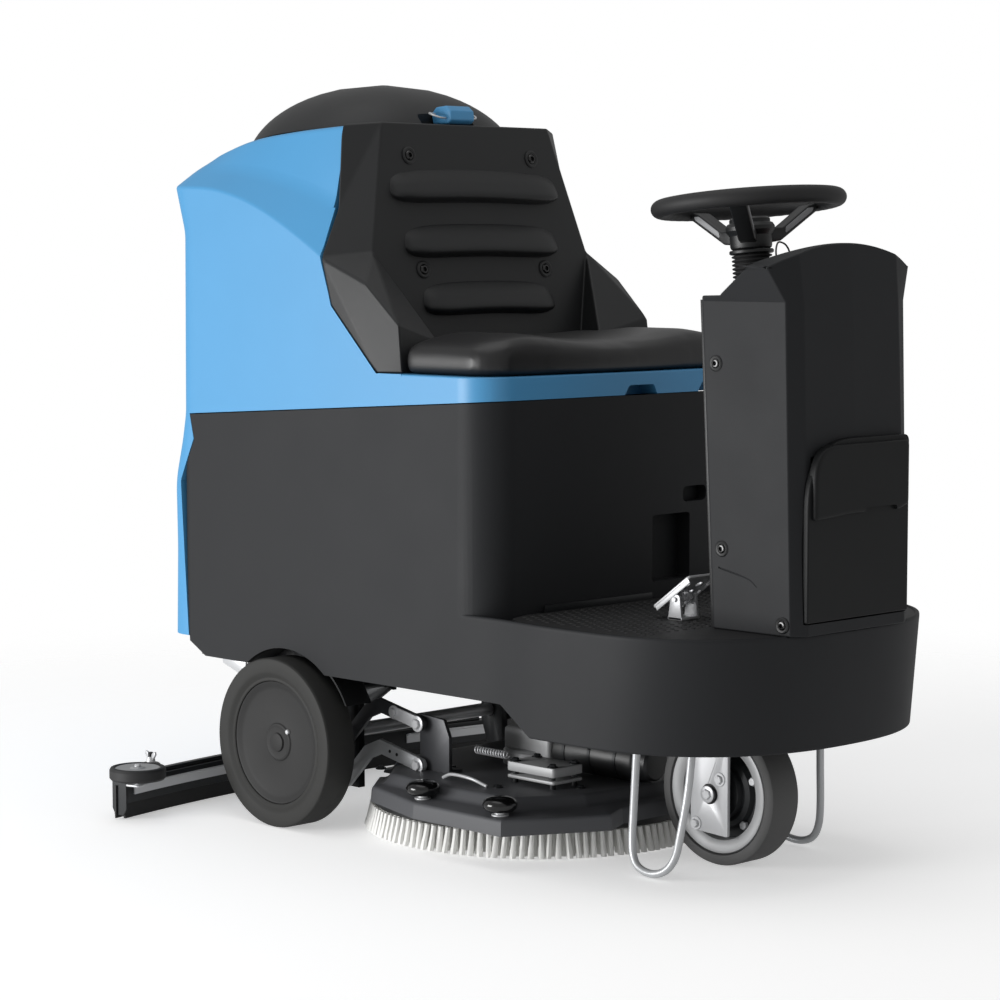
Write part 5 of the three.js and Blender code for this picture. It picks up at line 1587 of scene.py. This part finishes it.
# -------------------- hardware in its solid's own shape
def refined(node, body, finish, width=1.2, angle=42):
    """A solid's own shape with softened edges."""
    source = frame["nodes"][node]
    mesh = source.data.copy()
    mesh.transform(source.matrix_world)
    o = new_object(node + "_looks", mesh, finish)
    for p in mesh.polygons:
        p.material_index = 0
    bevel(o, width, 2, angle, clamp=True)
    paint(o, finish)
    return finished(smooth(o, 38), body, node)


for node, body, finish in (("chassis_frame", "chassis", STEEL_DARK), ("column_rear_panel", "chassis",
        TRIM), ("deck_actuator", "chassis", ZINC), ("battery_left", "chassis", TRIM),
        ("battery_right", "chassis", TRIM), ("rear_axle", "chassis", ZINC),
        ("steering_chain", "chassis", STEEL_DARK), ("fork_sprocket", "fork", STEEL_DARK),
        ("steering_pinion", "pinion", STEEL_DARK), ("steering_shaft", "steering", ZINC),
        ("suction_motor", "upper_tank", TRIM), ("float_cage", "upper_tank", TRIM),
        ("squeegee_arm", "squeegee_lift_arm", STEEL_DARK)):
    refined(node, body, finish)


def rear_brackets():
    """Bright plates bolted under the tank's foot on each side."""
    for sign in (-1, 1):
        web = prism("rear_bracket_looks", rounded([(-268, 263), (-268, 252), (-214, 234), (-202, 234),
            (-202, 263)], [1, 4, 4, 2, 1]), "y", *sorted((sign * 246, sign * 250)), ZINC)
        foot = prism("bracket_foot", [(-268, 252.2), (-214, 234.2), (-213, 237.8), (-268, 256)], "y",
            *sorted((sign * 222, sign * 249)), ZINC)
        finished(merge("rear_bracket_looks", [soft(p, 0.8) for p in (web, foot)]), "chassis")


rear_brackets()


# -------------------- finishes of the solids themselves
def carried_over():
    """Gives every solid the finish of its slot."""
    by_slot = {}
    for finish, slot in SLOT.items():
        by_slot.setdefault(slot, finish)
    slots = {s["node"]: s["material_slot"] for s in frame["record"]["subparts"]}
    for name, node in frame["nodes"].items():
        node.data.materials.clear()
        node.data.materials.append(by_slot[slots[name]])
        if not node.hide_render:
            smooth(node, 30)


carried_over()


# -------------------- stage, light and camera
SKY = 0.42
FLOOR_GLOW = 0.28
FLOOR_BOUNCE = 0.14
CAMERA_PLACE = (3753, -3483, 1012)
CAMERA_TARGET = (205.4, 0, 566.3)
CAMERA_LENS = 101.45
KEY_WATTS = 170
TOP_WATTS = 20


def stage():
    """A pale floor that fades into a white backdrop, lit by a softer sky than the camera sees."""
    white = bpy.data.materials.new("studio white")
    white.use_nodes = True
    t = white.node_tree
    shader = t.nodes["Principled BSDF"]
    shader.inputs["Base Color"].default_value = (0.9, 0.9, 0.9, 1)
    shader.inputs["Roughness"].default_value = 0.9
    shader.inputs["Specular IOR Level"].default_value = 0.1
    shader.inputs["Emission Color"].default_value = (1, 1, 1, 1)
    seen = t.nodes.new("ShaderNodeLightPath")
    glow = t.nodes.new("ShaderNodeMath")
    glow.operation = "MULTIPLY_ADD"
    glow.inputs[1].default_value = FLOOR_GLOW
    glow.inputs[2].default_value = FLOOR_BOUNCE
    coord = t.nodes.new("ShaderNodeTexCoord")
    reach = t.nodes.new("ShaderNodeVectorMath")
    reach.operation = "LENGTH"
    fade = t.nodes.new("ShaderNodeMapRange")
    fade.interpolation_type = "SMOOTHSTEP"
    for socket, value in (("From Min", 1.2), ("From Max", 2.9), ("To Min", 1.0), ("To Max", 0.0)):
        fade.inputs[socket].default_value = value
    t.links.new(seen.outputs["Is Camera Ray"], glow.inputs[0])
    t.links.new(glow.outputs["Value"], shader.inputs["Emission Strength"])
    t.links.new(coord.outputs["Object"], reach.inputs[0])
    t.links.new(reach.outputs["Value"], fade.inputs["Value"])
    t.links.new(fade.outputs["Result"], shader.inputs["Alpha"])
    mesh = bpy.data.meshes.new("floor")
    mesh.from_pydata([(-3, -3, 0), (3, -3, 0), (3, 3, 0), (-3, 3, 0)], [], [(0, 1, 2, 3)])
    floor = new_object("floor", mesh, white)
    world = bpy.data.worlds.new("studio")
    world.use_nodes = True
    bpy.context.scene.world = world
    t = world.node_tree
    t.nodes["Background"].inputs["Color"].default_value = (1, 1, 1, 1)
    seen = t.nodes.new("ShaderNodeLightPath")
    sky = t.nodes.new("ShaderNodeMapRange")
    sky.inputs["To Min"].default_value = SKY
    sky.inputs["To Max"].default_value = 1.0
    t.links.new(seen.outputs["Is Camera Ray"], sky.inputs["Value"])
    t.links.new(sky.outputs["Result"], t.nodes["Background"].inputs["Strength"])


def lamp(name, place, target, energy, width, height):
    data = bpy.data.lights.new(name, "AREA")
    data.shape = "RECTANGLE"
    data.size, data.size_y = width, height
    data.energy = energy
    o = bpy.data.objects.new(name, data)
    o.location = place
    o.rotation_euler = (Vector(target) - Vector(place)).to_track_quat("-Z", "Y").to_euler()
    bpy.context.scene.collection.objects.link(o)


def camera():
    data = bpy.data.cameras.new("camera")
    o = bpy.data.objects.new("camera", data)
    bpy.context.scene.collection.objects.link(o)
    o.location = at(*CAMERA_PLACE)
    target = at(*CAMERA_TARGET)
    o.rotation_euler = (target - o.location).to_track_quat("-Z", "Y").to_euler()
    data.sensor_width = 36
    data.lens = CAMERA_LENS
    bpy.context.scene.camera = o


stage()
middle = at(350, 0, 600)
lamp("key", at(-1500, -4200, 600), middle, KEY_WATTS, 2.4, 1.8)
lamp("top", at(300, -400, 3600), middle, TOP_WATTS, 3.0, 3.0)
camera()
scene = bpy.context.scene
scene.view_settings.view_transform = "Standard"
